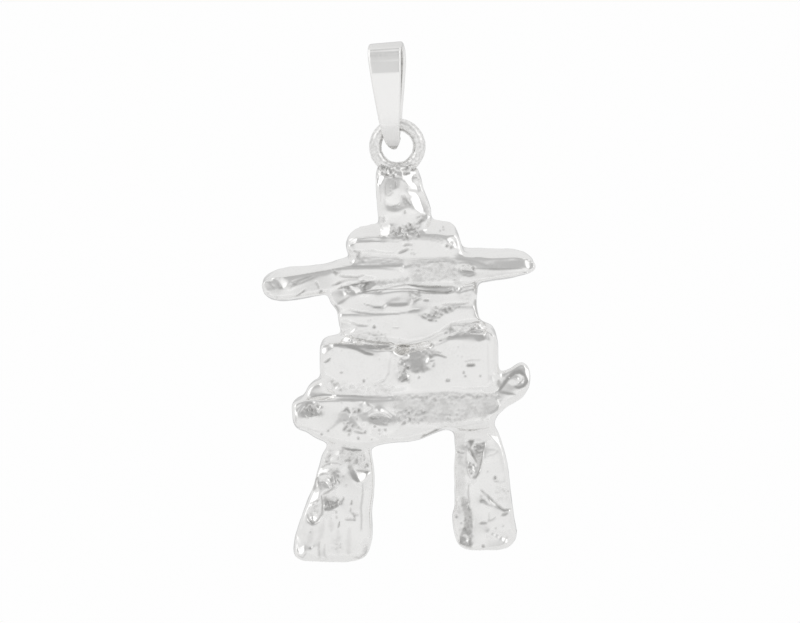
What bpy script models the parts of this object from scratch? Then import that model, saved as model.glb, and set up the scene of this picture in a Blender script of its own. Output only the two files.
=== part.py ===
"""Inukshuk pendant: a cast silver figure of stacked stones, its soldered ring and its strap bail.

Sizes are in millimetres and are multiplied by MM where a mesh is placed. The outlines of the stones are
drawn as seen from the front, +X to the right and +Z up, from the centre of the ring. The whole pendant is
then placed so that the origin is where a chain bears, at the top of the inside of the bail. The front of
the figure faces -Y.
"""

import math

import bmesh
import bpy
from mathutils import Matrix, Vector, noise

MM = 0.001

# Ring: round wire, its middle line a circle that stands upright.
WIRE_RADIUS = 0.56
RING_RADIUS = 2.0
RING_STEPS = 36
WIRE_SIDES = 10
SOLDER_GAP = 0.05

# Bail: a strap folded over the chain and closed under the wire.
BAIL_LEAN = math.radians(4.5)
BAIL_PLACE = math.radians(13.0)
BAIL_TWIST = math.radians(-9.5)
BAIL_LENGTH = 9.19
SEAT_TO_WIRE = 6.94
STRAP_THICKNESS = 0.5
SEAT_RADIUS = 1.2
SEAT_STEP = 18
WIRE_LOOP_RADIUS = 1.18
STRAP_HALF_WIDTH = 1.53
STRAP_TAPER_POWER = 1.45
BACK_LEG_TAPER = 0.14
LEG_STEPS = 5
CLOSING_LENGTH = 2.2
FLANK_STEPS = 8
TIP_HALF_WIDTH = 0.6
TIP_HALF_THICKNESS = 0.5
TIP_ROUND = 0.3
TIP_BLUNTNESS = 0.93
STRAP_EDGE = 0.12
STRAP_EDGE_STEPS = 2
SHARP_RIM = math.radians(60.0)

# The bail hangs on the wire a little to the left of the ring's top.
WIRE_AT_BAIL = Vector((-RING_RADIUS * math.sin(BAIL_PLACE), 0.0, RING_RADIUS * math.cos(BAIL_PLACE)))
BAIL_UP = Vector((-math.sin(BAIL_LEAN), 0.0, math.cos(BAIL_LEAN)))
RING_CENTRE = -(WIRE_AT_BAIL + BAIL_UP * SEAT_TO_WIRE)

# Casting: how uneven the stones are, the size of that unevenness, and the shifts that give each of its
# three directions a pattern of its own.
STONE_SWELL = 0.12
SWELL_LENGTH = 2.6
SWELL_SHIFTS = (Vector((0.0, 0.0, 0.0)), Vector((0.0, 17.0, 0.0)), Vector((0.0, 41.0, 0.0)))

# The angles at which a stone's rounded edge is drawn.
EDGE_ARC = (0.0, 45.0, 90.0)

SILVER = (0.86, 0.86, 0.87, 1.0)


def clear_scene():
    """Remove whatever the file opened with."""
    for item in list(bpy.data.objects):
        bpy.data.objects.remove(item, do_unlink=True)


def silver(name, roughness):
    """A polished or brushed silver."""
    material = bpy.data.materials.new(name)
    material.use_nodes = True
    shader = material.node_tree.nodes["Principled BSDF"]
    shader.inputs["Base Color"].default_value = SILVER
    shader.inputs["Metallic"].default_value = 1.0
    shader.inputs["Roughness"].default_value = roughness
    return material


def finish(name, mesh_data, material=None):
    """Turn a bmesh into an object. The mesh stays in millimetres, and the object's scale makes it metres."""
    bmesh.ops.recalc_face_normals(mesh_data, faces=mesh_data.faces)
    mesh = bpy.data.meshes.new(name)
    mesh_data.to_mesh(mesh)
    mesh_data.free()
    if material:
        mesh.materials.append(material)
    item = bpy.data.objects.new(name, mesh)
    item.scale = (MM, MM, MM)
    bpy.context.scene.collection.objects.link(item)
    return item


def hide_guide(item):
    """Show a stone or a cutter as a wire guide only."""
    item.hide_render = True
    item.display_type = "WIRE"


def swell(place):
    """How far a point of the casting strays from its plain form."""
    return Vector([noise.noise((place + shift) / SWELL_LENGTH) for shift in SWELL_SHIFTS]) * STONE_SWELL


def outward(outline):
    """The outward direction at each corner of an outline that runs clockwise."""
    directions = []
    for index, point in enumerate(outline):
        before = Vector(outline[index - 1])
        after = Vector(outline[(index + 1) % len(outline)])
        along = (after - before).normalized()
        directions.append(Vector((-along.y, along.x)))
    return directions


def stone(name, outline, front, back, edge, ledge=0.0, underside=0.0):
    """A stone of the figure, from its outline in front view.

    The outline is drawn forward from the back in steps, rounded over by edge at both faces. Towards the
    front, what faces up sinks by ledge and what faces down rises by underside, which gives the sloping
    ledges on which the metal catches the light.
    """
    arc = [math.radians(angle) for angle in EDGE_ARC]
    steps = [(edge * (1.0 - math.sin(a)), back - edge * (1.0 - math.cos(a))) for a in arc]
    steps += [(edge * (1.0 - math.sin(a)), -front + edge * (1.0 - math.cos(a))) for a in reversed(arc)]
    directions = outward(outline)
    shape = bmesh.new()
    loops = []
    for inset, depth in steps:
        forward = min(1.0, max(0.0, (back - edge - depth) / (front + back - 2.0 * edge)))
        loop = []
        for point, direction in zip(outline, directions):
            x = point[0] - direction.x * inset
            z = point[1] - direction.y * inset
            z -= forward * ledge * max(0.0, direction.y)
            z += forward * underside * max(0.0, -direction.y)
            place = Vector((x, depth, z))
            loop.append(shape.verts.new(place + swell(place)))
        loops.append(loop)
    for here, there in zip(loops, loops[1:]):
        for index in range(len(here)):
            after = (index + 1) % len(here)
            shape.faces.new((here[index], here[after], there[after], there[index]))
    shape.faces.new(reversed(loops[0]))
    shape.faces.new(loops[-1])
    bmesh.ops.triangulate(shape, faces=shape.faces)
    bmesh.ops.translate(shape, vec=RING_CENTRE, verts=shape.verts)
    return finish(name, shape)


def lump(name, centre, reach, tilt=0.0):
    """A rounded lump, or the cutter of a hollow, turned by tilt degrees in front view."""
    shape = bmesh.new()
    bmesh.ops.create_icosphere(shape, subdivisions=2, radius=1.0)
    bmesh.ops.scale(shape, vec=Vector(reach), verts=shape.verts)
    turn = Matrix.Rotation(math.radians(-tilt), 3, "Y")
    bmesh.ops.rotate(shape, cent=Vector(), matrix=turn, verts=shape.verts)
    bmesh.ops.translate(shape, vec=Vector(centre) + RING_CENTRE, verts=shape.verts)
    return finish(name, shape)


def head():
    """The upright stone that carries the ring, wider at its foot on the right."""
    outline = [(-1.92, -1.75), (-0.2, -1.7), (1.7, -1.75), (2.1, -2.6), (2.4, -3.9), (2.75, -4.7),
               (3.05, -5.4), (3.12, -6.2), (3.0, -7.0), (2.3, -7.9), (-0.9, -7.9), (-1.55, -7.2),
               (-1.75, -6.2), (-1.9, -4.6), (-1.95, -3.0)]
    return stone("head", outline, front=1.35, back=1.35, edge=0.4, ledge=0.95)


def shoulders():
    """A broad flat slab with a wide sloping ledge on top."""
    outline = [(-4.62, -8.6), (-4.4, -7.95), (-3.95, -7.45), (-3.2, -7.1), (-2.0, -6.85), (0.8, -6.6),
               (3.2, -6.5), (4.8, -6.7), (5.25, -7.1), (5.6, -7.9), (5.85, -8.8), (5.95, -9.8),
               (5.6, -10.6), (3.0, -11.0), (-1.0, -11.0), (-3.7, -10.8), (-4.35, -9.9), (-4.62, -9.2)]
    return stone("shoulders", outline, front=1.55, back=1.5, edge=0.35, ledge=1.25)


def arms():
    """One long stone right through the figure, both of its ends blunt and round."""
    outline = [(-12.2, -12.4), (-12.0, -11.65), (-11.3, -11.1), (-9.8, -10.82), (-8.0, -10.67),
               (-6.3, -10.42), (-5.4, -10.08), (-4.2, -9.85), (-1.0, -9.9), (2.5, -9.5), (5.9, -8.95),
               (8.2, -9.1), (10.5, -9.1), (11.55, -9.38), (12.2, -9.88), (12.45, -10.5), (12.45, -11.1),
               (12.0, -11.45), (10.5, -11.8), (8.8, -12.05), (7.3, -12.35), (5.0, -12.9), (1.0, -12.7),
               (-3.0, -12.9), (-6.2, -13.3), (-8.0, -13.65), (-10.3, -13.95), (-11.3, -13.8),
               (-11.95, -13.35)]
    return stone("arms", outline, front=1.7, back=1.6, edge=0.42, ledge=0.75, underside=0.15)


def torso():
    """A thin slab under the arms."""
    outline = [(-6.2, -12.6), (-3.5, -12.3), (0.0, -12.2), (4.0, -12.3), (7.2, -11.9), (7.2, -13.0),
               (7.15, -14.1), (7.1, -15.0), (3.0, -15.4), (-2.0, -15.5), (-5.1, -15.3), (-5.45, -14.75),
               (-5.95, -14.1), (-6.15, -13.4)]
    return stone("torso", outline, front=1.8, back=1.65, edge=0.35, ledge=0.75, underside=0.1)


def chest():
    """A slab with a large smooth face that runs down to the left."""
    outline = [(-5.4, -14.7), (-3.0, -14.4), (0.0, -14.2), (3.0, -14.1), (6.0, -14.0), (7.15, -14.2),
               (7.35, -15.2), (7.5, -15.9), (6.4, -16.5), (4.7, -16.9), (3.2, -17.6), (1.6, -18.0),
               (0.0, -18.0), (-1.5, -17.7), (-3.2, -17.5), (-4.75, -17.2), (-5.15, -16.3), (-5.35, -15.4)]
    return stone("chest", outline, front=1.95, back=1.75, edge=0.38, ledge=0.45, underside=0.1)


def left_block():
    """The left of two big blocks side by side, with a rounded face."""
    outline = [(-6.9, -17.7), (-6.65, -17.1), (-6.1, -16.85), (-4.8, -16.75), (-3.0, -16.9), (-1.2, -17.2),
               (-0.15, -17.6), (0.1, -19.0), (0.0, -20.6), (-0.3, -21.8), (-1.0, -22.6), (-3.4, -22.7),
               (-5.6, -22.4), (-6.6, -21.2), (-6.9, -20.3), (-6.93, -19.0)]
    return stone("left block", outline, front=2.05, back=1.8, edge=0.45, ledge=1.0)


def right_block():
    """The right and larger block, its ledge rising to the right."""
    outline = [(-0.7, -18.2), (0.3, -17.7), (2.0, -17.45), (3.2, -17.0), (4.2, -16.4), (5.2, -15.95),
               (6.5, -15.75), (7.6, -15.52), (8.5, -15.9), (8.9, -16.6), (9.05, -17.6), (9.02, -19.0),
               (9.02, -20.5), (8.9, -21.8), (8.3, -22.7), (4.0, -22.9), (-0.2, -22.9), (-0.7, -21.4)]
    return stone("right block", outline, front=2.1, back=1.85, edge=0.45, ledge=1.05)


def pebble():
    """The small stone that shows behind the left end of the hips."""
    outline = [(-8.45, -22.4), (-8.1, -21.5), (-7.5, -20.98), (-6.7, -20.75), (-5.6, -20.8), (-4.6, -21.5),
               (-4.6, -23.2), (-8.3, -23.2)]
    return stone("pebble", outline, front=1.5, back=1.3, edge=0.4, ledge=0.3)


def hips():
    """The thick slab over the legs, blunt at the left and arched between the legs."""
    outline = [(-9.5, -23.3), (-9.35, -22.75), (-8.7, -22.35), (-7.6, -22.15), (-5.0, -22.1), (-2.0, -22.1),
               (1.0, -22.0), (5.0, -22.0), (8.5, -21.9), (9.2, -22.5), (9.3, -23.6), (8.9, -24.5),
               (8.65, -25.1), (8.2, -25.55), (6.5, -25.75), (5.1, -25.65), (4.3, -25.47), (3.3, -25.92),
               (2.2, -26.42), (1.0, -26.65), (-0.2, -26.7), (-1.2, -26.85), (-2.2, -27.1), (-3.3, -27.25),
               (-4.8, -27.1), (-6.2, -26.75), (-7.0, -26.45), (-7.6, -26.1), (-8.1, -25.7), (-9.0, -25.5),
               (-9.4, -24.9)]
    return stone("hips", outline, front=2.35, back=2.0, edge=0.5, ledge=0.5, underside=0.2)


def horn():
    """The right end of the hips, which curls up into a knob."""
    outline = [(8.0, -20.9), (9.1, -20.25), (10.0, -20.0), (10.6, -19.58), (11.1, -19.3), (11.55, -19.5),
               (11.92, -20.1), (12.0, -20.9), (11.85, -21.7), (11.4, -22.4), (10.8, -22.85), (9.9, -23.35),
               (9.3, -23.95), (8.6, -24.8), (7.6, -25.0), (7.4, -22.0)]
    return stone("horn", outline, front=1.6, back=1.4, edge=0.5)


def left_leg():
    """The left leg, which spreads to the left down to a broad foot."""
    outline = [(-6.1, -25.6), (-6.3, -26.9), (-6.75, -27.6), (-6.95, -28.6), (-7.3, -29.6), (-7.6, -30.8),
               (-8.0, -31.7), (-8.5, -32.9), (-8.9, -34.0), (-9.2, -35.0), (-9.33, -36.4), (-9.1, -36.95),
               (-8.5, -37.25), (-6.6, -37.32), (-4.5, -37.38), (-3.6, -37.2), (-2.85, -36.9), (-2.5, -36.2),
               (-2.27, -35.2), (-2.25, -34.0), (-2.35, -32.9), (-2.12, -31.2), (-2.05, -29.8),
               (-2.15, -28.4), (-2.4, -27.0), (-2.4, -25.6)]
    return stone("left leg", list(reversed(outline)), front=1.85, back=1.6, edge=0.5)


def right_leg():
    """The right leg, which is straight on its inner side."""
    outline = [(5.08, -24.9), (5.18, -27.0), (5.1, -29.0), (5.15, -31.0), (5.25, -32.5), (4.98, -33.1),
               (4.96, -34.1), (5.2, -35.2), (5.55, -35.85), (6.3, -36.25), (7.2, -36.37), (9.0, -36.3),
               (10.0, -36.0), (10.6, -35.4), (10.8, -34.6), (10.55, -33.5), (10.35, -32.2), (10.15, -30.3),
               (9.95, -28.8), (9.62, -27.3), (9.15, -25.8), (8.7, -24.9)]
    return stone("right leg", list(reversed(outline)), front=1.75, back=1.55, edge=0.45)


def solder():
    """Lumps of solder round the foot of the ring, on top of the head."""
    return [lump("solder left", (-1.2, -0.1, -1.95), (0.75, 0.95, 0.5), tilt=-22.0),
            lump("solder middle", (0.05, -0.15, -2.2), (0.95, 1.05, 0.8)),
            lump("solder right", (1.15, -0.1, -1.9), (0.75, 0.95, 0.6), tilt=28.0)]


def knob():
    """The round knob inside the curl of the horn."""
    return lump("knob", (10.35, -1.25, -21.15), (0.62, 0.5, 0.42), tilt=20.0)


def hollows():
    """Cutters of the hollows and recesses in the front of the figure."""
    return [lump("head hollow", (-0.55, -1.5, -3.75), (0.5, 0.55, 1.05), tilt=-10.0),
            lump("head notch", (0.1, -1.5, -5.5), (1.15, 0.45, 0.42)),
            lump("head slant", (1.05, -1.5, -4.95), (0.85, 0.45, 0.3), tilt=-42.0),
            lump("arm pocket", (6.3, -1.95, -11.3), (0.85, 0.6, 0.36), tilt=-10.0),
            lump("chest pit", (3.3, -2.2, -15.15), (1.35, 0.65, 0.5), tilt=12.0),
            lump("block hollow", (1.9, -2.3, -19.0), (1.75, 0.75, 0.95), tilt=18.0),
            lump("block pit", (0.6, -2.3, -20.65), (0.55, 0.7, 0.6)),
            lump("block slit", (3.7, -2.3, -18.55), (1.0, 0.5, 0.3), tilt=-12.0),
            lump("hip hollow", (-7.9, -2.5, -23.75), (0.95, 0.75, 0.8), tilt=20.0),
            lump("hip dent", (-4.8, -2.6, -24.3), (0.75, 0.75, 0.95), tilt=-35.0),
            lump("hip groove", (-1.5, -2.6, -24.6), (1.2, 0.6, 0.5), tilt=-8.0),
            lump("hip recess", (4.4, -3.1, -23.6), (5.2, 1.05, 1.3), tilt=3.0),
            lump("horn curl", (10.5, -1.85, -21.0), (1.05, 0.75, 0.85), tilt=25.0),
            lump("left leg hollow", (-6.3, -2.1, -29.9), (0.95, 0.8, 0.95), tilt=20.0),
            lump("left leg bowl", (-7.5, -2.0, -33.2), (0.6, 0.6, 0.65)),
            lump("left leg dent", (-5.9, -2.1, -32.2), (0.95, 0.6, 0.6), tilt=25.0),
            lump("left leg notch", (-3.9, -2.05, -29.3), (0.55, 0.55, 0.9), tilt=25.0),
            lump("right leg hollow", (7.05, -2.05, -28.0), (0.75, 0.8, 1.75), tilt=8.0),
            lump("right leg groove", (6.35, -1.95, -33.9), (0.5, 0.6, 2.2))]


def wire_torus(name, wire_radius, material=None):
    """The ring's wire, or the cutter of the seat that it has in the solder."""
    shape = bmesh.new()
    bmesh.ops.create_circle(shape, segments=WIRE_SIDES, radius=wire_radius)
    upright = Matrix.Rotation(math.pi / 2.0, 3, "X")
    bmesh.ops.rotate(shape, cent=Vector(), matrix=upright, verts=shape.verts)
    bmesh.ops.translate(shape, vec=Vector((RING_RADIUS, 0.0, 0.0)), verts=shape.verts)
    bmesh.ops.spin(shape, geom=shape.edges[:], cent=Vector(), axis=Vector((0.0, 0.0, 1.0)),
                   angle=2.0 * math.pi, steps=RING_STEPS, use_merge=True, use_duplicate=False)
    bmesh.ops.remove_doubles(shape, verts=shape.verts, dist=1.0e-4)
    bmesh.ops.rotate(shape, cent=Vector(), matrix=upright, verts=shape.verts)
    bmesh.ops.translate(shape, vec=RING_CENTRE, verts=shape.verts)
    item = finish(name, shape, material)
    item.data.shade_smooth()
    return item


def figure(material):
    """The casting: every stone fused with its neighbours, then hollowed."""
    body = hips()
    body.name = "figure"
    body.data.materials.append(material)
    fused = [left_block(), right_block(), chest(), torso(), arms(), shoulders(), head(), pebble(),
             horn(), left_leg(), right_leg()]
    fused += solder()
    for other in fused:
        combine(body, other, "UNION")
    for cutter in hollows():
        combine(body, cutter, "DIFFERENCE")
    combine(body, knob(), "UNION")
    seat = wire_torus("ring seat", WIRE_RADIUS + SOLDER_GAP)
    combine(body, seat, "DIFFERENCE")
    return body


def combine(body, other, operation):
    """Add another solid to the casting, or cut it away."""
    hide_guide(other)
    step = body.modifiers.new(other.name, "BOOLEAN")
    step.object = other
    step.operation = operation
    step.solver = "MANIFOLD"


def strap_half_width(drop, depth):
    """Half the strap's width at a distance below the seat. The back leg tapers more."""
    taper = (max(0.0, drop) / BAIL_LENGTH) ** STRAP_TAPER_POWER
    half = STRAP_HALF_WIDTH + (TIP_HALF_WIDTH - STRAP_HALF_WIDTH) * taper
    if depth > 0.0:
        half *= 1.0 - BACK_LEG_TAPER * taper
    into_tip = (drop - BAIL_LENGTH + TIP_HALF_WIDTH) / TIP_HALF_WIDTH
    if into_tip > 0.0:
        half *= math.sqrt(1.0 - min(into_tip, TIP_BLUNTNESS) ** 2)
    return half


def closed_depth(below):
    """How far the strap's outer face is from its middle, at a distance below the wire."""
    open_depth = WIRE_LOOP_RADIUS + STRAP_THICKNESS
    closing = min(1.0, below / CLOSING_LENGTH)
    depth = TIP_HALF_THICKNESS + (open_depth - TIP_HALF_THICKNESS) * (0.5 + 0.5 * math.cos(math.pi * closing))
    into_tip = (below - (BAIL_LENGTH - SEAT_TO_WIRE) + TIP_ROUND) / TIP_ROUND
    if into_tip > 0.0:
        depth *= math.sqrt(1.0 - min(into_tip, TIP_BLUNTNESS) ** 2)
    return depth


def bail_leg():
    """Pairs of inner and outer points down one leg of the bail, from its seat to its tip."""
    pairs = []
    for step in range(1, LEG_STEPS):
        share = step / LEG_STEPS
        height = -SEAT_RADIUS + (SEAT_RADIUS - SEAT_TO_WIRE) * share
        inner = SEAT_RADIUS + (WIRE_LOOP_RADIUS - SEAT_RADIUS) * share
        pairs.append((Vector((inner, height)), Vector((inner + STRAP_THICKNESS, height))))
    for step in range(FLANK_STEPS):
        turn = math.pi / 2.0 * step / FLANK_STEPS
        below = (BAIL_LENGTH - SEAT_TO_WIRE) * math.sin(turn)
        inner = Vector((math.cos(turn), -math.sin(turn))) * WIRE_LOOP_RADIUS
        outer = Vector((closed_depth(below), -below))
        pairs.append((inner - Vector((0.0, SEAT_TO_WIRE)), outer - Vector((0.0, SEAT_TO_WIRE))))
    return pairs


def bail_profile():
    """Pairs of inner and outer points round the bail's side view, as (depth, height) from the seat."""
    top = Vector((0.0, -SEAT_RADIUS))
    seat = []
    for angle in range(0, 181, SEAT_STEP):
        way = Vector((math.cos(math.radians(angle)), math.sin(math.radians(angle))))
        seat.append((top + way * SEAT_RADIUS, top + way * (SEAT_RADIUS + STRAP_THICKNESS)))
    tip = [(Vector((0.0, -SEAT_TO_WIRE - WIRE_LOOP_RADIUS)), Vector((0.0, -BAIL_LENGTH)))]
    leg = bail_leg()
    other_leg = [(Vector((-inner.x, inner.y)), Vector((-outer.x, outer.y))) for inner, outer in leg]
    return seat + other_leg + tip + list(reversed(leg))


def bail(material):
    """The folded strap, drawn across its width from its side view, then leaned and twisted."""
    shape = bmesh.new()
    rings = []
    for inner, outer in bail_profile():
        corners = []
        for point, side in ((inner, -1.0), (outer, -1.0), (outer, 1.0), (inner, 1.0)):
            half = strap_half_width(-point.y, point.x)
            corners.append(shape.verts.new((side * half, point.x, point.y)))
        rings.append(corners)
    for index, here in enumerate(rings):
        there = rings[(index + 1) % len(rings)]
        for corner in range(4):
            after = (corner + 1) % 4
            shape.faces.new((here[corner], here[after], there[after], there[corner]))
    bmesh.ops.recalc_face_normals(shape, faces=shape.faces)
    rims = [edge for edge in shape.edges if edge.calc_face_angle() > SHARP_RIM]
    bmesh.ops.bevel(shape, geom=rims, affect="EDGES", offset=STRAP_EDGE, segments=STRAP_EDGE_STEPS,
                    profile=0.5, material=-1)
    turn = Matrix.Rotation(-BAIL_LEAN, 3, "Y") @ Matrix.Rotation(BAIL_TWIST, 3, "Z")
    bmesh.ops.rotate(shape, cent=Vector(), matrix=turn, verts=shape.verts)
    return finish("bail", shape, material)


def main():
    """Build the pendant."""
    clear_scene()
    figure(silver("cast silver", 0.12))
    wire_torus("ring", WIRE_RADIUS, silver("ring silver", 0.15))
    bail(silver("bail silver", 0.2))


main()
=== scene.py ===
import math

import bmesh
import bpy
import numpy as np
from mathutils import Matrix, Vector, noise
from mathutils.bvhtree import BVHTree


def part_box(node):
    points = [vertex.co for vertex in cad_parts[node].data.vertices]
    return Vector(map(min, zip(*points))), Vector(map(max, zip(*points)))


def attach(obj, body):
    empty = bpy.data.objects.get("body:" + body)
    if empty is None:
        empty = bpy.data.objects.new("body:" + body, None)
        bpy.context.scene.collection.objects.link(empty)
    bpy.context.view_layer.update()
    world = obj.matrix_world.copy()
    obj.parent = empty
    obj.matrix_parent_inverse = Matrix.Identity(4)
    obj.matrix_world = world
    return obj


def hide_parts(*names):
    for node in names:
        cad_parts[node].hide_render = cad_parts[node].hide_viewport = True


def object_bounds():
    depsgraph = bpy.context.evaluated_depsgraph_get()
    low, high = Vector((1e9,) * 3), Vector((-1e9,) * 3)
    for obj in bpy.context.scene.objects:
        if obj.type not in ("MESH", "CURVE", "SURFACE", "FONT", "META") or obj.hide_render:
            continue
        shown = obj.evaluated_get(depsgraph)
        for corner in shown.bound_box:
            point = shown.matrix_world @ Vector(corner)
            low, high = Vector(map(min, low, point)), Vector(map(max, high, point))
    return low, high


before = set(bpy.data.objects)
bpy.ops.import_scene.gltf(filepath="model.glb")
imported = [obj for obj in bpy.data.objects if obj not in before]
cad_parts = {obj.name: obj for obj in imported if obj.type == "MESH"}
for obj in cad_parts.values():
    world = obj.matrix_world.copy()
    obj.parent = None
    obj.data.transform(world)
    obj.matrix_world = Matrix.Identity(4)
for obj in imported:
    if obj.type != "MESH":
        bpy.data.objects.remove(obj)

cad_low, cad_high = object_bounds()
MM = 0.001

# Camera: square to the front of the pendant and far back, as a catalogue picture is taken. The ring's
# middle stands where the photograph has it, and a pixel there covers PIXEL of the silver.
PIXEL = 0.09 * MM
PHOTO_WIDTH = 800
PHOTO_MIDDLE = (400.0, 311.5)
RING_IN_PHOTO = (397.3, 146.5)
CAMERA_DISTANCE = 0.65
SENSOR = 36.0

ring_low, ring_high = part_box("ring")
ring_centre = (ring_low + ring_high) / 2.0
camera = bpy.data.objects.new("camera", bpy.data.cameras.new("camera"))
camera.data.sensor_width = SENSOR
camera.data.lens = SENSOR * CAMERA_DISTANCE / (PIXEL * PHOTO_WIDTH)
camera.data.clip_start = 0.01
camera.data.clip_end = 10.0
camera.location = (ring_centre.x + (PHOTO_MIDDLE[0] - RING_IN_PHOTO[0]) * PIXEL, -CAMERA_DISTANCE,
                   ring_centre.z - (PHOTO_MIDDLE[1] - RING_IN_PHOTO[1]) * PIXEL)
camera.rotation_euler = (math.pi / 2.0, 0.0, 0.0)
bpy.context.scene.collection.objects.link(camera)
bpy.context.scene.camera = camera
bpy.context.scene.view_settings.view_transform = "Standard"

# Studio: a pale light tent, all round the pendant. It is dim overhead in front, where the tent opens for
# the camera, and brightest at its upper corners. Silver shows what it mirrors, so the tent is the light.
WHITE = (1.0, 1.0, 1.0, 1.0)
FRONT_GLOW = 0.87
TENT_GLOW = 0.84
UNDER_GLOW = 0.95
OVERHEAD_GLOW = 0.55
CORNER_GLOW = 1.35
FAR_GLOW = 0.74
PAPER_GLOW = 0.99
# Each pair is where a patch of the tent begins and is full, along one axis, with the tent's wall at 1.
FRONT_PATCH = (0.72, 0.995)
UNDER_DROP, UNDER_END, UNDER_CONE = (0.04, 0.18), (-0.6, -0.3), (0.5, 0.8)
OVERHEAD_RISE, OVERHEAD_BACK, OVERHEAD_WIDTH = (0.0, 0.52), (-0.62, -0.3), (0.34, 0.66)
CORNER_ASIDE, CORNER_RISE, CORNER_BACK = (0.34, 0.6), (0.16, 0.38), (-0.5, -0.1)
FAR_PATCH = (0.86, 1.0)


class Shade:
    """A socket of a node tree. Sums on it add Math nodes, and make adds any other node."""

    def __init__(self, tree, socket=None):
        self.tree = tree
        self.socket = socket

    def make(self, kind, settings=None, inputs=None, output=0):
        node = self.tree.nodes.new(kind)
        for name, value in (settings or {}).items():
            setattr(node, name, value)
        for name, value in (inputs or {}).items():
            if isinstance(value, Shade):
                self.tree.links.new(value.socket, node.inputs[name])
            else:
                node.inputs[name].default_value = value
        return Shade(self.tree, node.outputs[output] if node.outputs else None)

    def math(self, operation, first, second=0.0):
        return self.make("ShaderNodeMath", {"operation": operation}, {0: first, 1: second})

    def __add__(self, other):
        return self.math("ADD", self, other)

    __radd__ = __add__

    def __rsub__(self, other):
        return self.math("SUBTRACT", other, self)

    def __mul__(self, other):
        return self.math("MULTIPLY", self, other)

    __rmul__ = __mul__

    def ramp(self, low, high):
        """0 below low and 1 above high, smooth between them."""
        return self.make("ShaderNodeMapRange", {"interpolation_type": "SMOOTHSTEP", "clamp": True},
                         {"Value": self, "From Min": low, "From Max": high})


world = bpy.data.worlds.new("light tent")
world.use_nodes = True
bpy.context.scene.world = world
world.node_tree.nodes.clear()
tent = Shade(world.node_tree)
direction = tent.make("ShaderNodeTexCoord", output="Generated")
aside, away, upward = [tent.make("ShaderNodeSeparateXYZ", inputs={0: direction}, output=axis)
                       for axis in range(3)]
side = tent.math("ABSOLUTE", aside)
facing = (0.0 - away).ramp(*FRONT_PATCH)
glow = TENT_GLOW + facing * (FRONT_GLOW - TENT_GLOW)
under = (0.0 - upward).ramp(*UNDER_DROP) * upward.ramp(*UNDER_END) * (0.0 - away).ramp(*UNDER_CONE)
glow = glow + under * (UNDER_GLOW - FRONT_GLOW)
overhead = (upward.ramp(*OVERHEAD_RISE) * (1.0 - away.ramp(*OVERHEAD_BACK))
            * (1.0 - side.ramp(*OVERHEAD_WIDTH)))
glow = glow * (1.0 - overhead) + overhead * OVERHEAD_GLOW
corner = side.ramp(*CORNER_ASIDE) * upward.ramp(*CORNER_RISE) * (1.0 - away.ramp(*CORNER_BACK))
glow = glow + corner * (CORNER_GLOW - TENT_GLOW)
glow = glow * (1.0 - away.ramp(*FAR_PATCH) * (1.0 - FAR_GLOW))
in_view = tent.make("ShaderNodeLightPath", output="Is Camera Ray")
glow = glow * (1.0 - in_view) + in_view * PAPER_GLOW
light = tent.make("ShaderNodeBackground", inputs={"Color": WHITE, "Strength": glow})
tent.make("ShaderNodeOutputWorld", inputs={"Surface": light})

# Floor: a round pale sheet of paper below the pendant, which hangs clear of it. It is out of the picture
# in the photograph's view, and shows from above.
FLOOR_DROP = 14.0 * MM
FLOOR_RADIUS = 170.0 * MM
PAPER = (0.87, 0.87, 0.87, 1.0)
PAPER_ROUGHNESS = 0.8
PAPER_LIT_THROUGH = 0.1

sheet = bmesh.new()
bmesh.ops.create_circle(sheet, cap_ends=True, segments=96, radius=FLOOR_RADIUS)
bmesh.ops.translate(sheet, vec=(0.0, 0.0, cad_low.z - FLOOR_DROP), verts=sheet.verts)
floor_mesh = bpy.data.meshes.new("floor")
sheet.to_mesh(floor_mesh)
sheet.free()
floor = bpy.data.objects.new("floor", floor_mesh)
bpy.context.scene.collection.objects.link(floor)
paper = bpy.data.materials.new("pale paper")
paper.use_nodes = True
for socket, value in (("Base Color", PAPER), ("Roughness", PAPER_ROUGHNESS), ("Emission Color", WHITE),
                      ("Emission Strength", PAPER_LIT_THROUGH)):
    paper.node_tree.nodes["Principled BSDF"].inputs[socket].default_value = value
floor_mesh.materials.append(paper)

# Bail: one tapered strap of sterling, folded over a former and soldered at its tip. Its faces are brushed
# down their length and its edges are rubbed round. Its front has a bend across it, below the fold.
SILVER = (0.93, 0.925, 0.915, 1.0)
DARKENED_SILVER = (0.55, 0.545, 0.535, 1.0)
STRAP_GRAIN = 0.08
STRAP_SOFTENING = 4
HAIRS_PER_METRE = (9000.0, 9000.0, 350.0)
# Heights over the ring's middle, in mm, where the strap turns darker: towards the bottom, at the tip, and
# along the top of the fold as painted shade.
DARKER_BELOW = (3.6, 0.4)
TIP_BELOW = (0.9, -0.3)
FOLD_SHADE_ABOVE = (8.5, 9.2)


def fine_copy(node_name, voxel, softening):
    """A close-meshed copy of a modelled node, in millimetres from the ring's middle."""
    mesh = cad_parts[node_name].data.copy()
    shape = bmesh.new()
    shape.from_mesh(mesh)
    bmesh.ops.remove_doubles(shape, verts=shape.verts, dist=1.0e-7)
    bmesh.ops.translate(shape, vec=-ring_centre, verts=shape.verts)
    bmesh.ops.scale(shape, vec=(1.0 / MM,) * 3, verts=shape.verts)
    shape.to_mesh(mesh)
    shape.free()
    coarse = bpy.data.objects.new(node_name + "-coarse", mesh)
    bpy.context.scene.collection.objects.link(coarse)
    remesh = coarse.modifiers.new("close mesh", "REMESH")
    remesh.mode = "VOXEL"
    remesh.voxel_size = voxel
    close = bpy.data.meshes.new_from_object(coarse.evaluated_get(bpy.context.evaluated_depsgraph_get()))
    bpy.data.objects.remove(coarse, do_unlink=True)
    shape = bmesh.new()
    shape.from_mesh(close)
    for turn in range(softening):
        soften(shape, shape.verts)
    return shape


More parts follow.
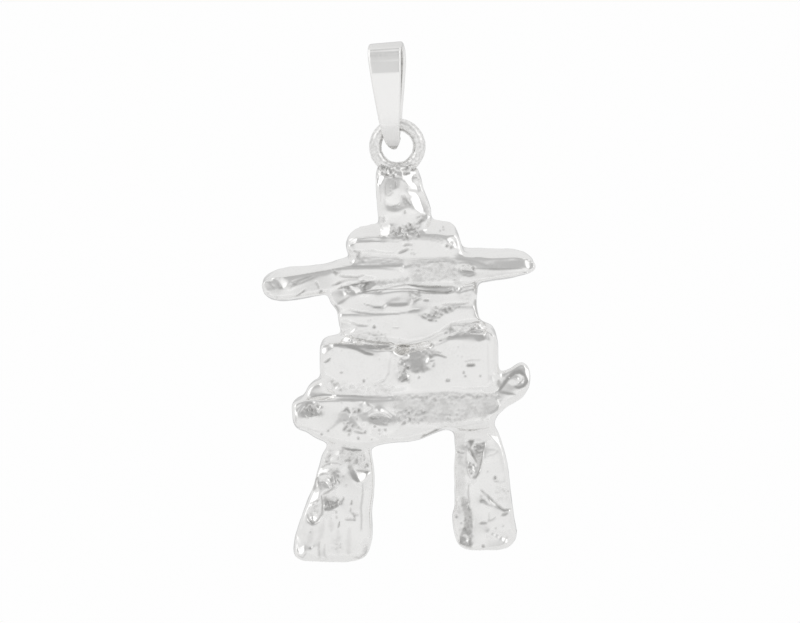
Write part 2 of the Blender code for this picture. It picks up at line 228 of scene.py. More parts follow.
def soften(shape, verts):
    bmesh.ops.smooth_vert(shape, verts=verts, factor=0.5, use_axis_x=True, use_axis_y=True, use_axis_z=True)


def finished(name, shape, material, body, node_name):
    """The finished piece of a shape in millimetres from the ring's middle."""
    bmesh.ops.scale(shape, vec=(MM,) * 3, verts=shape.verts)
    bmesh.ops.translate(shape, vec=ring_centre, verts=shape.verts)
    mesh = bpy.data.meshes.new(name)
    shape.to_mesh(mesh)
    shape.free()
    mesh.shade_smooth()
    mesh.materials.append(material)
    piece = bpy.data.objects.new(name, mesh)
    bpy.context.scene.collection.objects.link(piece)
    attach(piece, body)
    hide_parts(node_name)
    return piece


def silver(name):
    """A new metal material, and its shader and the shade that starts its maths."""
    material = bpy.data.materials.new(name)
    material.use_nodes = True
    metal = material.node_tree.nodes["Principled BSDF"]
    metal.inputs["Base Color"].default_value = SILVER
    metal.inputs["Metallic"].default_value = 1.0
    return material, metal, Shade(material.node_tree)


def feed(shade, value, metal, socket):
    shade.tree.links.new(value.socket, metal.inputs[socket])


brushed, metal, shade = silver("brushed silver")
metal.inputs["Roughness"].default_value = 0.2
where = shade.make("ShaderNodeTexCoord", output="Object")
stretched = shade.make("ShaderNodeMapping", inputs={"Vector": where, "Scale": HAIRS_PER_METRE})
hairs = shade.make("ShaderNodeTexNoise", inputs={"Vector": stretched, "Scale": 1.0, "Detail": 3.0})
upright = shade.make("ShaderNodeSeparateXYZ", inputs={0: where}, output=2)
# The strap is mixed darker towards the bottom and the tip, and darker along the top of the fold with painted
# shade.
darkened, tip, painted_fold_shade = [upright.ramp(ring_centre.z + begins * MM, ring_centre.z + full * MM)
                   for begins, full in (DARKER_BELOW, TIP_BELOW, FOLD_SHADE_ABOVE)]
tone = shade.make("ShaderNodeMix", {"data_type": "RGBA"},
                  {"Factor": darkened * hairs * 0.35 + tip * 0.45 + painted_fold_shade * 0.25, 6: SILVER, 7: DARKENED_SILVER}, output=2)
feed(shade, tone, metal, "Base Color")
feed(shade, 0.14 + hairs * 0.14, metal, "Roughness")
lines = shade.make("ShaderNodeBump", inputs={"Strength": 0.12, "Distance": 0.02 * MM, "Height": hairs})
feed(shade, lines, metal, "Normal")

# How far the front stands forward at each height over the ring's middle. Where it is bent inwards, only its
# outer face is. The bend is not quite level, and the back leg stands a little to the left of the front one.
STRAP_BENDS = ((-0.3, 0.0), (0.0, 0.12), (0.5, 0.14), (1.0, -0.02), (1.5, -0.2), (1.95, -0.23), (2.5, -0.16),
               (3.4, -0.06), (4.5, 0.05), (5.5, 0.15), (6.55, 0.25), (7.6, 0.09), (8.2, 0.08), (8.5, 0.15),
               (8.75, 0.28), (9.0, 0.28), (9.3, 0.1), (9.45, 0.0))
BEND_FALL = 0.04
BEND_MIDDLE = -1.0
STRAP_FRONT = 0.6
BACK_SHIFT = 0.2
BACK_SHIFT_TOP = 7.5
BACK_SHIFT_LENGTH = 4.0

strap = fine_copy("bail", STRAP_GRAIN, STRAP_SOFTENING)
strap.normal_update()
for vert in strap.verts:
    forward = np.interp(vert.co.z - BEND_FALL * (vert.co.x - BEND_MIDDLE), *zip(*STRAP_BENDS))
    behind = max(-1.0, min(1.0, vert.co.y / STRAP_FRONT))
    if forward < 0.0:
        forward *= 1.0 - min(1.0, max(0.0, 0.5 + vert.normal.y))
    vert.co.y += forward * min(0.0, behind)
    lowness = min(1.0, max(0.0, (BACK_SHIFT_TOP - vert.co.z) / BACK_SHIFT_LENGTH))
    vert.co.x -= BACK_SHIFT * max(0.0, behind) * lowness
finished("strap-bail", strap, brushed, "bail", "bail")

# Ring: round sterling wire bent into a jump ring. It stands upright on the head and is soldered there, and
# the flame has left its lower half dull and a little pitted.
WIRE = (ring_high.y - ring_low.y) / 2.0 / MM
RING = (ring_high.x - ring_low.x) / 2.0 / MM - WIRE
WIRE_SIDES = 40
RING_STEPS = 140
FIRED = (0.93, 0.925, 0.915, 1.0)
FIRED_DARK = (0.72, 0.715, 0.705, 1.0)
SPOTS_PER_METRE = 3800.0
SPOT_RANGE = (0.35, 0.75)

wire = bmesh.new()
bmesh.ops.create_circle(wire, segments=WIRE_SIDES, radius=WIRE)
bmesh.ops.translate(wire, vec=(RING, 0.0, 0.0), verts=wire.verts)
bmesh.ops.rotate(wire, matrix=Matrix.Rotation(math.pi / 2.0, 3, "X"), verts=wire.verts,
                 cent=(RING, 0.0, 0.0))
bmesh.ops.spin(wire, geom=wire.edges[:], cent=(0.0, 0.0, 0.0), axis=(0.0, 0.0, 1.0),
               angle=2.0 * math.pi, steps=RING_STEPS, use_merge=True, use_duplicate=False)
bmesh.ops.remove_doubles(wire, verts=wire.verts, dist=1.0e-4)
bmesh.ops.rotate(wire, matrix=Matrix.Rotation(math.pi / 2.0, 3, "X"), verts=wire.verts, cent=(0.0, 0.0, 0.0))
bmesh.ops.recalc_face_normals(wire, faces=wire.faces)
for vert in wire.verts:
    flame = min(1.0, max(0.0, (0.9 + vert.co.x * 0.35 - vert.co.z) / 2.0))
    bumpy = noise.noise(vert.co * 2.2) + 0.6 * noise.noise(vert.co * 5.5)
    vert.co += vert.normal * bumpy * (0.012 + 0.03 * flame)

fired, metal, shade = silver("fired silver")
where = shade.make("ShaderNodeTexCoord", output="Object")
spots = shade.make("ShaderNodeTexNoise", inputs={"Vector": where, "Scale": SPOTS_PER_METRE, "Detail": 3.0})
tone = shade.make("ShaderNodeMix", {"data_type": "RGBA"},
                  {"Factor": spots.ramp(*SPOT_RANGE), 6: FIRED, 7: FIRED_DARK}, output=2)
feed(shade, tone, metal, "Base Color")
feed(shade, 0.24 + spots * 0.16, metal, "Roughness")
dull = shade.make("ShaderNodeBump", inputs={"Strength": 0.3, "Distance": 0.02 * MM, "Height": spots})
feed(shade, dull, metal, "Normal")
finished("jump-ring", wire, fired, "pendant", "ring")

# Casting: the figure, one solid piece of sterling from a carved wax. It was tumbled bright, so its faces
# are mirrors, and the pits, cracks and ragged hollows of the wax are left in it, darkened with tarnish and
# painted shade; some ledges and rims carry painted shade too. Its stones are cut into the front of the
# close-meshed casting, stroke by stroke.
CAST_GRAIN = 0.2
CAST_SOFTENING = 5
FRONT_SOFTENING = 3
CELL = 0.08
PROBE_START = -20.0
WEST, EAST = -12.8, 13.0
BOTTOM, TOP = -38.2, -1.0
RELIEF_REACH = 6.0
SKIN_HOLD = 0.3
EDGE_GIVE = 0.75
GLEAM_GIVE = 0.96
GLEAM_GROWTH = 0.06
FLAT_REACH = 0.3
CRUMPLE_REACH = 0.4
CRUMPLE_RAGGED = 0.25
LOOSE_HOLD = 0.02
SOLVER_STEPS = 40
# The darkest colour of the casting's tarnish and painted shade.
TARNISH_AND_SHADE = (0.3, 0.295, 0.285, 1.0)
CLOUDS_PER_METRE = 900.0
GRAINS_PER_METRE = 6500.0
CLOUDED = (0.9, 1.3)
FRONT_ROOM = 0.09

casting = fine_copy("figure", CAST_GRAIN, CAST_SOFTENING)
casting.normal_update()
front = [face for face in casting.faces if face.normal.y < -0.12]
front_edges = list({edge for face in front for edge in face.edges})
bmesh.ops.subdivide_edges(casting, edges=front_edges, cuts=1, use_grid_fill=True)
bmesh.ops.triangulate(casting, faces=[face for face in casting.faces if len(face.verts) > 4])
for turn in range(FRONT_SOFTENING):
    soften(casting, casting.verts)
casting.normal_update()

# The front is worked as a sheet of cells: how far each stands towards the viewer, and how it leans.
columns = np.arange(WEST, EAST, CELL)
rows = np.arange(BOTTOM, TOP, CELL)
across, height = np.meshgrid(columns, rows)
probe = BVHTree.FromBMesh(casting)
ahead = Vector((0.0, 1.0, 0.0))
stands = np.full(across.shape, np.nan)
for row, z in enumerate(rows):
    for column, x in enumerate(columns):
        hit = probe.ray_cast(Vector((x, PROBE_START, z)), ahead)[0]
        if hit is not None:
            stands[row, column] = -hit.y
lean_z, lean_x = np.gradient(stands, CELL)
covered = np.isfinite(lean_z) & np.isfinite(lean_x)
lean_x = np.where(covered, lean_x, 0.0)
lean_z = np.where(covered, lean_z, 0.0)
first_x, first_z = lean_x.copy(), lean_z.copy()
hold = np.full(across.shape, SKIN_HOLD)
relief = np.zeros(across.shape)
# How much each cell is darkened: tarnish in the hollows, and painted shade in them and on dark ledges, bands
# and rims.
stain_and_shade = np.zeros(across.shape)
frost = np.zeros(across.shape)


def smooth(low, high, value):
    """0 below low and 1 above high, smooth between them."""
    share = np.clip((value - low) / (high - low), 0.0, 1.0)
    return share * share * (3.0 - 2.0 * share)


def unevenness(length, shift):
    """A smooth random field over the front, its waves about length long. It is turned by 37 degrees."""
    return np.array([[noise.noise(Vector(((0.8 * x + 0.6 * z) / length + shift, shift,
                                          (0.8 * z - 0.6 * x) / length)))
                      for x in columns] for z in rows])


lumps = unevenness(0.8, 11.0)
grit = unevenness(0.34, 23.0)
fine_grit = unevenness(0.24, 29.0)
ragged = 0.7 * unevenness(0.6, 31.0) + 0.6 * unevenness(0.25, 37.0)


def pairs(flat):
    """The points of a line or an outline that is written as x, z, x, z."""
    return list(zip(flat[::2], flat[1::2]))


def window(points, reach):
    """The part of the front within reach of the points."""
    low_x, high_x = min(x for x, z in points) - reach, max(x for x, z in points) + reach
    low_z, high_z = min(z for x, z in points) - reach, max(z for x, z in points) + reach
    return (slice(max(0, int((low_z - BOTTOM) / CELL)), max(1, int((high_z - BOTTOM) / CELL) + 2)),
            slice(max(0, int((low_x - WEST) / CELL)), max(1, int((high_x - WEST) / CELL) + 2)))


def inside(outline, part, edge, rough, grown=0.0):
    """1 inside a closed outline and 0 outside it, with an edge that is soft and may be ragged."""
    x, z = across[part], height[part]
    near = np.full(x.shape, 1.0e3)
    within = np.zeros(x.shape, bool)
    for (ax, az), (bx, bz) in zip(outline, outline[1:] + outline[:1]):
        dx, dz = bx - ax, bz - az
        run = np.clip(((x - ax) * dx + (z - az) * dz) / (dx * dx + dz * dz), 0.0, 1.0)
        near = np.minimum(near, np.hypot(x - ax - run * dx, z - az - run * dz))
        within ^= ((az > z) != (bz > z)) & (x < ax + (z - az) * dx / (dz if dz else 1.0))
    return smooth(-edge / 2.0, edge / 2.0, np.where(within, near, -near) + grown + rough * ragged[part])


def along(points, part):
    """Each cell's distance from a line, its side of it (above is 1), and its share of the way along."""
    x, z = across[part], height[part]
    near = np.full(x.shape, 1.0e3)
    side = np.ones(x.shape)
    share = np.zeros(x.shape)
    steps = [math.dist(a, b) for a, b in zip(points, points[1:])]
    walked = 0.0
    for (ax, az), (bx, bz), step in zip(points, points[1:], steps):
        dx, dz = (bx - ax) / step, (bz - az) / step
        run = np.clip((x - ax) * dx + (z - az) * dz, 0.0, step)
        distance = np.hypot(x - ax - run * dx, z - az - run * dz)
        closer = distance < near
        near = np.where(closer, distance, near)
        side = np.where(closer, np.sign((z - az) * dx - (x - ax) * dz), side)
        share = np.where(closer, (walked + run) / sum(steps), share)
        walked += step
    return near, side, share


def turn_face(part, shape, up, left, dark, give=EDGE_GIVE):
    """Lean the front up and to the left by the degrees given, where shape is 1, and darken it with stain and
    painted shade.
    """
    lean_x[part] += (math.tan(math.radians(left)) - lean_x[part]) * shape
    lean_z[part] += (-math.tan(math.radians(up)) - lean_z[part]) * shape
    hold[part] += (1.0 - hold[part]) * shape
    hold[part] *= 1.0 - 4.0 * give * shape * (1.0 - shape)
    stain_and_shade[part] = np.maximum(stain_and_shade[part], dark * shape)


def tilt(outline, up=0.0, left=0.0, edge=0.14, rough=0.05, dark=0.0, give=EDGE_GIVE):
    """A flat that leans, within an outline."""
    part = window(pairs(outline), FLAT_REACH)
    turn_face(part, inside(pairs(outline), part, edge, rough), up, left, dark, give)


def gleam(outline, left=24.0, up=14.0, edge=0.14, rough=0.03):
    """A clean flat that catches one of the tent's bright upper corners."""
    part = window(pairs(outline), FLAT_REACH)
    shape = inside(pairs(outline), part, edge, rough, GLEAM_GROWTH)
    turn_face(part, shape, up, left, 0.0, GLEAM_GIVE)
    for sheet in (relief, stain_and_shade, frost):
        sheet[part] *= 1.0 - shape


def oval(x, z, rx, rz, turn=0.0):
    """The outline of an ellipse, as 12 points."""
    angle = math.radians(turn)
    c, s = math.cos(angle), math.sin(angle)
    flat = []
    for step in range(12):
        u, v = rx * math.cos(step * math.pi / 6.0), rz * math.sin(step * math.pi / 6.0)
        flat += [x + u * c - v * s, z + u * s + v * c]
    return flat


def band(points, width, up=18.0, left=0.0, dark=0.0, edge=0.08, fade=0.0, rough=0.03):
    """A narrow flat along a line, which leans. It runs out at both ends, and may fade off above."""
    part = window(pairs(points), width + fade)
    near, side, share = along(pairs(points), part)
    near = near + rough * ragged[part]
    half = width / 2.0 * (4.0 * share * (1.0 - share) + 0.02) ** 0.3
    below = 1.0 - smooth(-edge / 2.0, edge / 2.0, near - half)
    above = 1.0 - smooth(-edge / 2.0, edge / 2.0 + fade, near - half)
    turn_face(part, np.where(side > 0.0, above, below), up, left, dark)


def sink(part, shape, depth, dark):
    """Press the front in where shape is 1, and darken what is pressed in with stain and painted shade."""
    relief[part] -= depth * shape
    stain_and_shade[part] = np.maximum(stain_and_shade[part], dark * np.sqrt(shape))


def dent(x, z, rx, rz, depth, turn=0.0, dark=0.0, rough=0.25):
    """A smooth hollow, or a swelling where depth is below 0."""
    part = window([(x, z)], 1.4 * max(rx, rz))
    angle = math.radians(turn)
    along_it = (across[part] - x) * math.cos(angle) + (height[part] - z) * math.sin(angle)
    over_it = (height[part] - z) * math.cos(angle) - (across[part] - x) * math.sin(angle)
    out = np.hypot(along_it / rx, over_it / rz) * (1.0 + rough * ragged[part])
    sink(part, np.clip(1.0 - out * out, 0.0, 1.0) ** 2, depth, dark)


def crack(points, width, depth, dark=0.0, rough=0.35):
    """A groove along a line, or a ridge where depth is below 0. It runs out at both ends."""
    part = window(pairs(points), 1.5 * width)
    near, side, share = along(pairs(points), part)
    half = width / 2.0 * (4.0 * share * (1.0 - share) + 0.03) ** 0.4
    sink(part, np.clip(1.0 - (near * (1.0 + rough * ragged[part]) / half) ** 2, 0.0, 1.0) ** 2, depth, dark)


def crumple(outline, depth, dark=0.0, matt=0.4, edge=0.4):
    """A patch of crumpled skin, its hollows darkened with stain and painted shade, and fine grain where it
    is matt.
    """
    part = window(pairs(outline), CRUMPLE_REACH)
    shape = inside(pairs(outline), part, edge, CRUMPLE_RAGGED)
    rough_skin = 0.4 * lumps[part] + 0.5 * grit[part] + 0.75 * fine_grit[part]
    relief[part] += depth * shape * rough_skin
    stain_and_shade[part] = np.maximum(stain_and_shade[part], dark * shape * (0.2 + 0.8 * smooth(0.0, 0.45, -rough_skin)))
    frost[part] = np.maximum(frost[part], matt * shape)


def pits(places, size=0.12, depth=0.08, dark=0.75):
    """Small ragged pits, each turned its own way."""
    for x, z in pairs(places):
        dent(x, z, size * 1.15, size, depth, 20.0 * x, dark, 0.4)


# Head: an upright stone with two worn hollows over a smooth chin.
tilt([-1.6, -2.9, 1.6, -2.6, 2.3, -4.5, 2.6, -7, -1.4, -7, -1.6, -5], -0.5, edge=0.5)
tilt([-1.2, -3, -0.8, -2.8, 0.3, -2.75, 0.3, -3.3, 0.1, -3.75, -0.35, -4, -0.6, -4.35, -0.95, -4.65,
      -1.15, -4.4, -1.2, -3.6], 14, 3, dark=0.12)
tilt([-0.3, -3.95, 0.25, -3.8, 0.35, -4.4, 0.3, -4.9, -0.1, -5.15, -0.9, -5.2, -1, -4.8, -0.6, -4.3], -7, 6)
tilt([-1.1, -5.2, -0.5, -5.4, 0, -5.2, 0.3, -4.9, 0.35, -4.3, 0.6, -4.35, 1.1, -4.95, 1.65, -5.6, 1.6, -5.8,
      1.1, -5.6, 0.6, -5.65, 0.2, -5.9, -0.4, -6, -0.9, -5.85], 17, dark=0.12)
crack([-1.05, -3.1, -1.05, -4.4], 0.25, 0.03, 0.35)
crack([-1.15, -4.4, -1.15, -5.3], 0.16, 0.03, 0.25)
crack([-1.55, -3.3, -1.5, -5], 0.2, 0.03, 0.2)
crack([0.45, -4.5, 0.75, -4.75, 0.95, -5.1], 0.2, 0.04, 0.35)
crack([-0.5, -5.35, 0, -5.3, 0.3, -5], 0.2, 0.04, 0.3)
crack([0.85, -3.8, 1.3, -4, 1.9, -4.1], 0.14, 0.05, 0.4)
crack([-0.15, -3.1, -0.15, -3.65], 0.2, 0.03, 0.4)
crack([-0.9, -4.5, -0.6, -4.35, -0.35, -4.05], 0.16, 0.03, 0.35)
crack([0.55, -4.35, 0.9, -4.8, 1.2, -5.3], 0.2, 0.04, 0.55)
crack([0.4, -4.45, 0.55, -4.9, 0.85, -5.25], 0.16, 0.04, 0.5)
crumple([-0.5, -5.3, 0.2, -5.2, 0.2, -5.75, -0.5, -5.7], 0.04, 0.4, edge=0.2)
crumple([1.3, -2.4, 2, -2.3, 2.3, -4, 1.9, -4.2, 1.5, -3.3], 0.03, 0.15)
gleam([0.85, -4.02, 1.2, -4, 1.6, -4.15, 1.95, -4.5, 2.08, -5, 2.35, -5.75, 2.15, -5.95, 1.7, -5.7,
       1.3, -5.2, 1, -4.75, 1.3, -4.45, 0.9, -4.2], -24, edge=0.12)
gleam([0.95, -3.85, 1.25, -3.4, 1.6, -3.25, 1.75, -3.7, 1.95, -4, 1.4, -3.95], -24, edge=0.12)
gleam([0.35, -2.72, 1.05, -2.62, 1.2, -3, 1.1, -3.35, 0.7, -3.1, 0.4, -3.05], -24, edge=0.12)
gleam([1, -2.6, 1.5, -2.05, 1.8, -2.05, 1.55, -2.5, 1.2, -3.05], -24, edge=0.12)
gleam([-1.87, -2.45, -1.3, -2.5, -1.2, -2.95, -1.55, -3.35, -1.87, -3.3])
crack([1, -3.9, 1.4, -4, 1.95, -4.12], 0.1, 0, 0.4)
tilt([2.1, -4.1, 2.5, -4.1, 2.95, -5.2, 3.1, -6.3, 2.5, -6.3, 2.35, -5.4], -6, -8, 0.1)
crumple([1.7, -6.3, 2.5, -6.2, 2.7, -6.9, 1.8, -7], 0.08, 0.7)
gleam(oval(2.55, -6.4, 0.13, 0.13))
crumple([-1.8, -6.3, -1.2, -6.3, -1.2, -7, -1.8, -6.8], 0.06, 0.5)
dent(0.68, -5.92, 0.13, 0.22, 0.08, 25, 0.7)
dent(2.15, -6.65, 0.22, 0.16, 0.08, 0, 0.85)
dent(1.92, -3, 0.12, 0.12, 0.06, 0, 0.5)
tilt([-0.6, -7.4, 0.3, -7.4, 0.9, -7.2, 1.4, -6.95, 1.9, -7.4, 1.9, -8.1, -0.6, -8.1], 9, rough=0.12)
crumple([-0.8, -7.2, 0.3, -7.25, 0.9, -7, 1.4, -6.8, 2, -7.3, 2, -8.1, 0.9, -8.5, 0, -8.5, -0.8, -8.1],
        0.09, 0.95, 0.6, 0.2)
gleam([-1.52, -6.95, -0.9, -6.85, -0.65, -7.3, -0.65, -7.9, -0.95, -8.15, -1.4, -8.1, -1.52, -7.6])
pits([-0.4, -7.6, -0.1, -7.95, 0.3, -7.6, 0.75, -7.9, 0.9, -7.45, 1.3, -7.3, 1.25, -7.8, 1.65, -7.6], 0.16,
     0.08, 0.7)

# Shoulders: a ledge over a bright face, with thin layers below it.
tilt([-4.1, -8.65, 0.3, -8.65, 1.2, -8.4, 2.5, -8.5, 4.2, -9, 4.9, -9.3, 5, -9.9, 1.6, -10, -0.3, -9.8,
      -3.9, -9.4], -0.5)
band([-4, -8.4, -2.5, -8.3, -0.3, -8.4, 1.2, -8.15, 2.6, -8.2, 3.7, -8.4, 4.35, -8.65], 0.38, 10)
crack([-3.9, -8.5, -2.5, -8.5, 0, -8.58, 1.2, -8.3, 2.6, -8.35, 4.3, -8.75], 0.12, 0.015, 0.25)
crack([-3.9, -8.22, -2.5, -8.12, -0.3, -8.2, 1.2, -7.98, 2.6, -8, 3.7, -8.2], 0.13, 0.015, 0.25)
gleam(oval(-4.05, -8.42, 0.3, 0.22, 18))
gleam([4.3, -8.35, 5, -8.28, 5.2, -8.75, 5.25, -9.1, 5.05, -9, 4.6, -8.62], -24)
crumple([4.4, -8.6, 5, -8.6, 5.1, -9.2, 4.4, -9.2], 0.08, 0.8, edge=0.15)
crack([0.5, -8.95, 0.9, -8.82, 1.35, -8.85], 0.2, 0.06, 0.65)
crack([0.05, -9.55, 0.6, -9.4, 1.1, -9.2], 0.24, 0.07, 0.7, 0.7)
pits([1.3, -9.3, 1.45, -9.55, 1.55, -9.7, 1.25, -9.6], 0.09, 0.05, 0.5)
pits([3.85, -7.6, 4.1, -7.25, 4.15, -7.5], 0.11, 0.06, 0.6)
crack([-3.6, -9.45, -2.2, -9.4, -0.9, -9.6, -0.1, -9.5], 0.16, 0.03, 0.25)
crack([-3.4, -9.68, -2.3, -9.62, -1, -9.82, 0.3, -9.92], 0.14, 0.03, 0.2)
tilt([-3.6, -9.8, -2.5, -9.75, -1, -9.95, 0.3, -10, 1.9, -10.25, 0.5, -10.6, -1, -10.72, -4, -10.6,
      -3.9, -10.1], 9, dark=0.03)
crumple([-4.3, -9.3, -3.3, -9.4, -2.9, -10, -3, -10.6, -4.2, -10.6], 0.06, 0.3, edge=0.2)
crumple([-3, -9.9, 0, -10.1, 0.3, -10.5, -2.9, -10.6], 0.018, 0.1, 0.5)
for drop in (0, 0.2, 0.4):
    crack([-3.3, -9.95 - drop, -1.5, -10 - drop, 0.4, -10.2 - drop], 0.12, 0.02, 0.22)
crack([-3.95, -9.35, -3.4, -9.6], 0.18, 0.06, 0.6)
crack([-3.3, -9.5, -3.7, -9.95], 0.16, 0.06, 0.6)
gleam(oval(-4, -10.2, 0.13, 0.2))
tilt([0.6, -10.05, 3, -9.95, 5, -9.9, 5.5, -10.2, 5.3, -10.5, 3, -10.45, 1, -10.75, 0.5, -10.6], 5,
     edge=0.2)
for drop in (0, 0.16, 0.32):
    crack([1.2, -10.1 - drop, 3, -10.05 - drop, 4.4, -9.95 - drop, 5.4, -10.1 - drop], 0.12, 0.03, 0.35)
band([4.2, -10.35, 4.7, -10.25, 5.1, -10.3], 0.12, 12, -24)

# Arms, left: a blunt bar with a sloping dark flat, a small bright one at its tip, and a pocked end.
tilt([-11.6, -12.6, -9.6, -12.9, -8, -12.3, -7, -11.6, -5.6, -11.5, -5.6, -12.8, -8, -13.2, -10.5, -13.5,
      -11.5, -13.4], 4, edge=0.4)
tilt([-9.9, -12.1, -8.7, -11.9, -7.7, -11.5, -6.2, -11.1, -6, -11.4, -7, -11.5, -7.6, -11.8, -8.3, -12.15,
      -9, -12.5, -9.7, -12.9, -10.6, -12.85, -10.1, -12.4], 12, 0, 0.1, 0.08, 0.04)
crumple([-9.9, -12.3, -8.8, -12, -8.4, -12.1, -9.6, -12.8], 0.04, 0.3, 0.1, 0.2)
crack([-10.6, -12.8, -10.1, -12.5, -9.8, -12.2], 0.2, 0.02, 0.45)
crack([-9.6, -12.25, -8.6, -11.95, -7.6, -11.58], 0.16, 0.02, 0.4)
crack([-9.4, -12.65, -8.3, -12.15, -7.4, -11.75], 0.16, 0.02, 0.4)
crack([-10.8, -12.3, -10.55, -12.75], 0.16, 0.02, 0.4)
tilt([-12, -12.2, -11.5, -12.1, -11, -12.75, -11.2, -12.85, -11.9, -12.85], 5, edge=0.3)
crack([-11.6, -12.05, -11.3, -12.45, -11, -12.8], 0.16, 0.02, 0.35)
band([-11.7, -11.9, -10.2, -11.9, -9.2, -11.72, -7.8, -11.45, -6.2, -11.15, -4.8, -10.92], 0.26, 18,
     dark=0.1)
gleam([-11.05, -11.92, -9.5, -12, -9.8, -12.35, -10.1, -12.7, -10.35, -12.5, -10.65, -12.2], edge=0.1)
band([-11.6, -11.8, -11, -11.98], 0.12, 12, 24)
band([-11.35, -12.1, -11.1, -12.6], 0.12, -5, 10)
crack([-9.1, -13.5, -8.7, -13.25, -8.25, -12.85], 0.2, 0.06, 0.65, 0.8)
crack([-9.6, -12.8, -9.35, -12.4, -8.9, -12.3], 0.14, 0.04, 0.4)
crack([-7.3, -12.15, -7.15, -12.45, -7.05, -12.8], 0.14, 0.06, 0.5)
pits([-6.85, -13.05], 0.16, 0.1, 0.85)
pits([-11.6, -13.2, -11, -13.4, -10.8, -13.6], 0.12, 0.04, 0.3)
crumple([-5.9, -11.1, -5.1, -11.1, -5, -11.6, -5.7, -11.6], 0.07, 0.8, edge=0.15)
crack([-5.3, -11.6, -4.6, -11.75, -3.6, -11.8, -2.9, -11.6], 0.2, 0.06, 0.6)
crack([-5.95, -12.5, -5.3, -12.25, -4.3, -12, -3.4, -11.95], 0.18, 0.05, 0.5)
crack([-5.6, -12.4, -5.1, -12.2], 0.24, 0.06, 0.7, 0.7)

# Arms, middle: torn underneath at the left, knobbly at the right.
tilt([-5, -11.1, 0, -11.05, 0.5, -11.5, -0.5, -11.85, -3, -11.6, -5, -11.5], 1)
band([-4.9, -10.75, -2.4, -10.82, -1, -10.75, 0.4, -10.75], 0.16, 20, dark=0.3)
band([-6, -11.02, -3.5, -11, -1.5, -10.98, 0.1, -11.15], 0.12, 18, dark=0.2)
tilt([-5.1, -12.75, -4.2, -12.3, -3, -12.05, -2, -12.1, -1.9, -12.5, -2.4, -12.9, -3.5, -13.3, -4.3, -13.35,
      -4.3, -12.9], 24, 0, 0.1, 0.15, 0.25)
crumple([-5, -12.6, -3, -12.1, -2, -12.2, -2.6, -13, -4.2, -13.3], 0.08, 0.85, edge=0.2)
crack([-5.3, -12.75, -4.4, -12.6, -3.4, -12.35, -2.3, -12.2], 0.26, 0.05, 0.85, 0.6)
crack([-3.9, -13.15, -3, -13.1, -2.2, -12.95, -1.8, -13], 0.2, 0.05, 0.7, 0.6)
gleam([-5.25, -12.97, -4.75, -12.92, -4.5, -13.15, -4.65, -13.5, -4.95, -13.35])
gleam([-4.3, -12.58, -3.9, -12.6, -3.25, -12.78, -3.25, -13.12, -3.75, -13.14, -4.15, -12.95])
under_ledge = [-2, -12.05, 1.2, -11.75, 1.3, -12.3, 0, -12.4, -2, -12.7]
tilt(under_ledge, 6, edge=0.3)
crumple(under_ledge, 0.03, 0.45, 0.8)
band([-2.4, -12.95, -1.75, -13.2, -1.1, -12.8, 0, -12.55, 1, -12.45, 1.9, -12.6, 3.2, -12.75, 5, -12.7],
     0.24, 16, dark=0.15)
crack([0.9, -12.42, 1.9, -12.55, 3.2, -12.66, 4.2, -12.66, 5.05, -12.58], 0.26, 0.03, 0.95)
crack([-3.6, -13.2, -2.4, -13.05, -1.6, -12.95, -0.8, -12.85, 0.2, -12.85], 0.12, 0.03, 0.3)
tilt([1.9, -12.8, 3.2, -12.9, 5, -12.8, 5, -12.95, 3.2, -13.05, 1.9, -12.95], 8)
crack([1.8, -12.95, 3.2, -13.1, 4.5, -13.14, 5.05, -12.95], 0.26, 0.03, 0.95)
tilt([1.3, -11.6, 2, -11.5, 2.4, -12, 2.1, -12.35, 1.2, -12.3], 14, 0, 0.4, 0.15, 0.25)
tilt([1, -10.7, 3, -10.5, 5.2, -10.6, 5.4, -11.9, 2.4, -12.3, 1.1, -12], 4.5, edge=0.4)
crumple([1, -10.5, 3, -10.3, 5.3, -10.4, 5.5, -11.9, 2.4, -12.3, 1.1, -12], 0.025, 0.32, 0.8)
tilt([0.2, -11, 0.6, -10.7, 1, -10.9, 1, -11.5, 0.4, -11.5], -4, 8)
gleam(oval(0.55, -10.78, 0.2, 0.15), -24)
crumple([5, -11.9, 5.6, -12, 5.7, -12.5, 5.1, -12.6], 0.07, 0.8, edge=0.15)
gleam([5.1, -12.6, 5.35, -12.7, 5.6, -12.6, 5.6, -13, 5.2, -13], -24)

# Arms, right: a smooth bar, its flank dark, with a pocket at its root and a bright spot near its tip.
tilt([6.8, -11.15, 11.8, -11.15, 11.8, -11.4, 7.4, -12, 6, -12.2, 5.8, -11.9], 3.5, edge=0.3)
tilt([8.2, -10.6, 8.8, -10.2, 10.5, -10.05, 11.8, -9.9, 11.4, -10.3, 11.15, -10.7, 11.2, -11.02, 9, -11.08,
      7.1, -10.98, 6.6, -10.75, 7.3, -10.5], 14.5, 0, 0.5)
tilt(oval(10.4, -10.62, 1, 0.34), 24, 0, 0.5, 0.05, 0.08)
crumple([7.5, -10.4, 9.5, -10.2, 11, -10.2, 10.8, -10.9, 8, -10.95], 0.012, 0.1, 0.1)
band([5.2, -10.1, 6.4, -10.25, 7.4, -10.5, 8.3, -10.85], 0.22, 18, dark=0.12)
band([5.5, -10.5, 6.5, -10.52, 7.2, -10.75], 0.18, 18, dark=0.15)
band([6.9, -10, 7.6, -10.02, 8.4, -10.15], 0.14, 17, dark=0.1)
band([7, -11, 9, -11.05, 11.2, -11], 0.12, 20, dark=0.3)
tilt(oval(11.6, -10.42, 0.32, 0.44), 13, -9, 0.25, 0.3)
gleam(oval(11.93, -10.42, 0.28, 0.44), -17, 10, 0.5, 0.25)
tilt(oval(6.3, -11.35, 0.78, 0.3, -12), 14, 0, 0.2, 0.08, 0.2)
crumple([5.4, -10.7, 6.9, -10.65, 6.9, -11.1, 5.5, -11.1], 0.06, 0.6, edge=0.15)
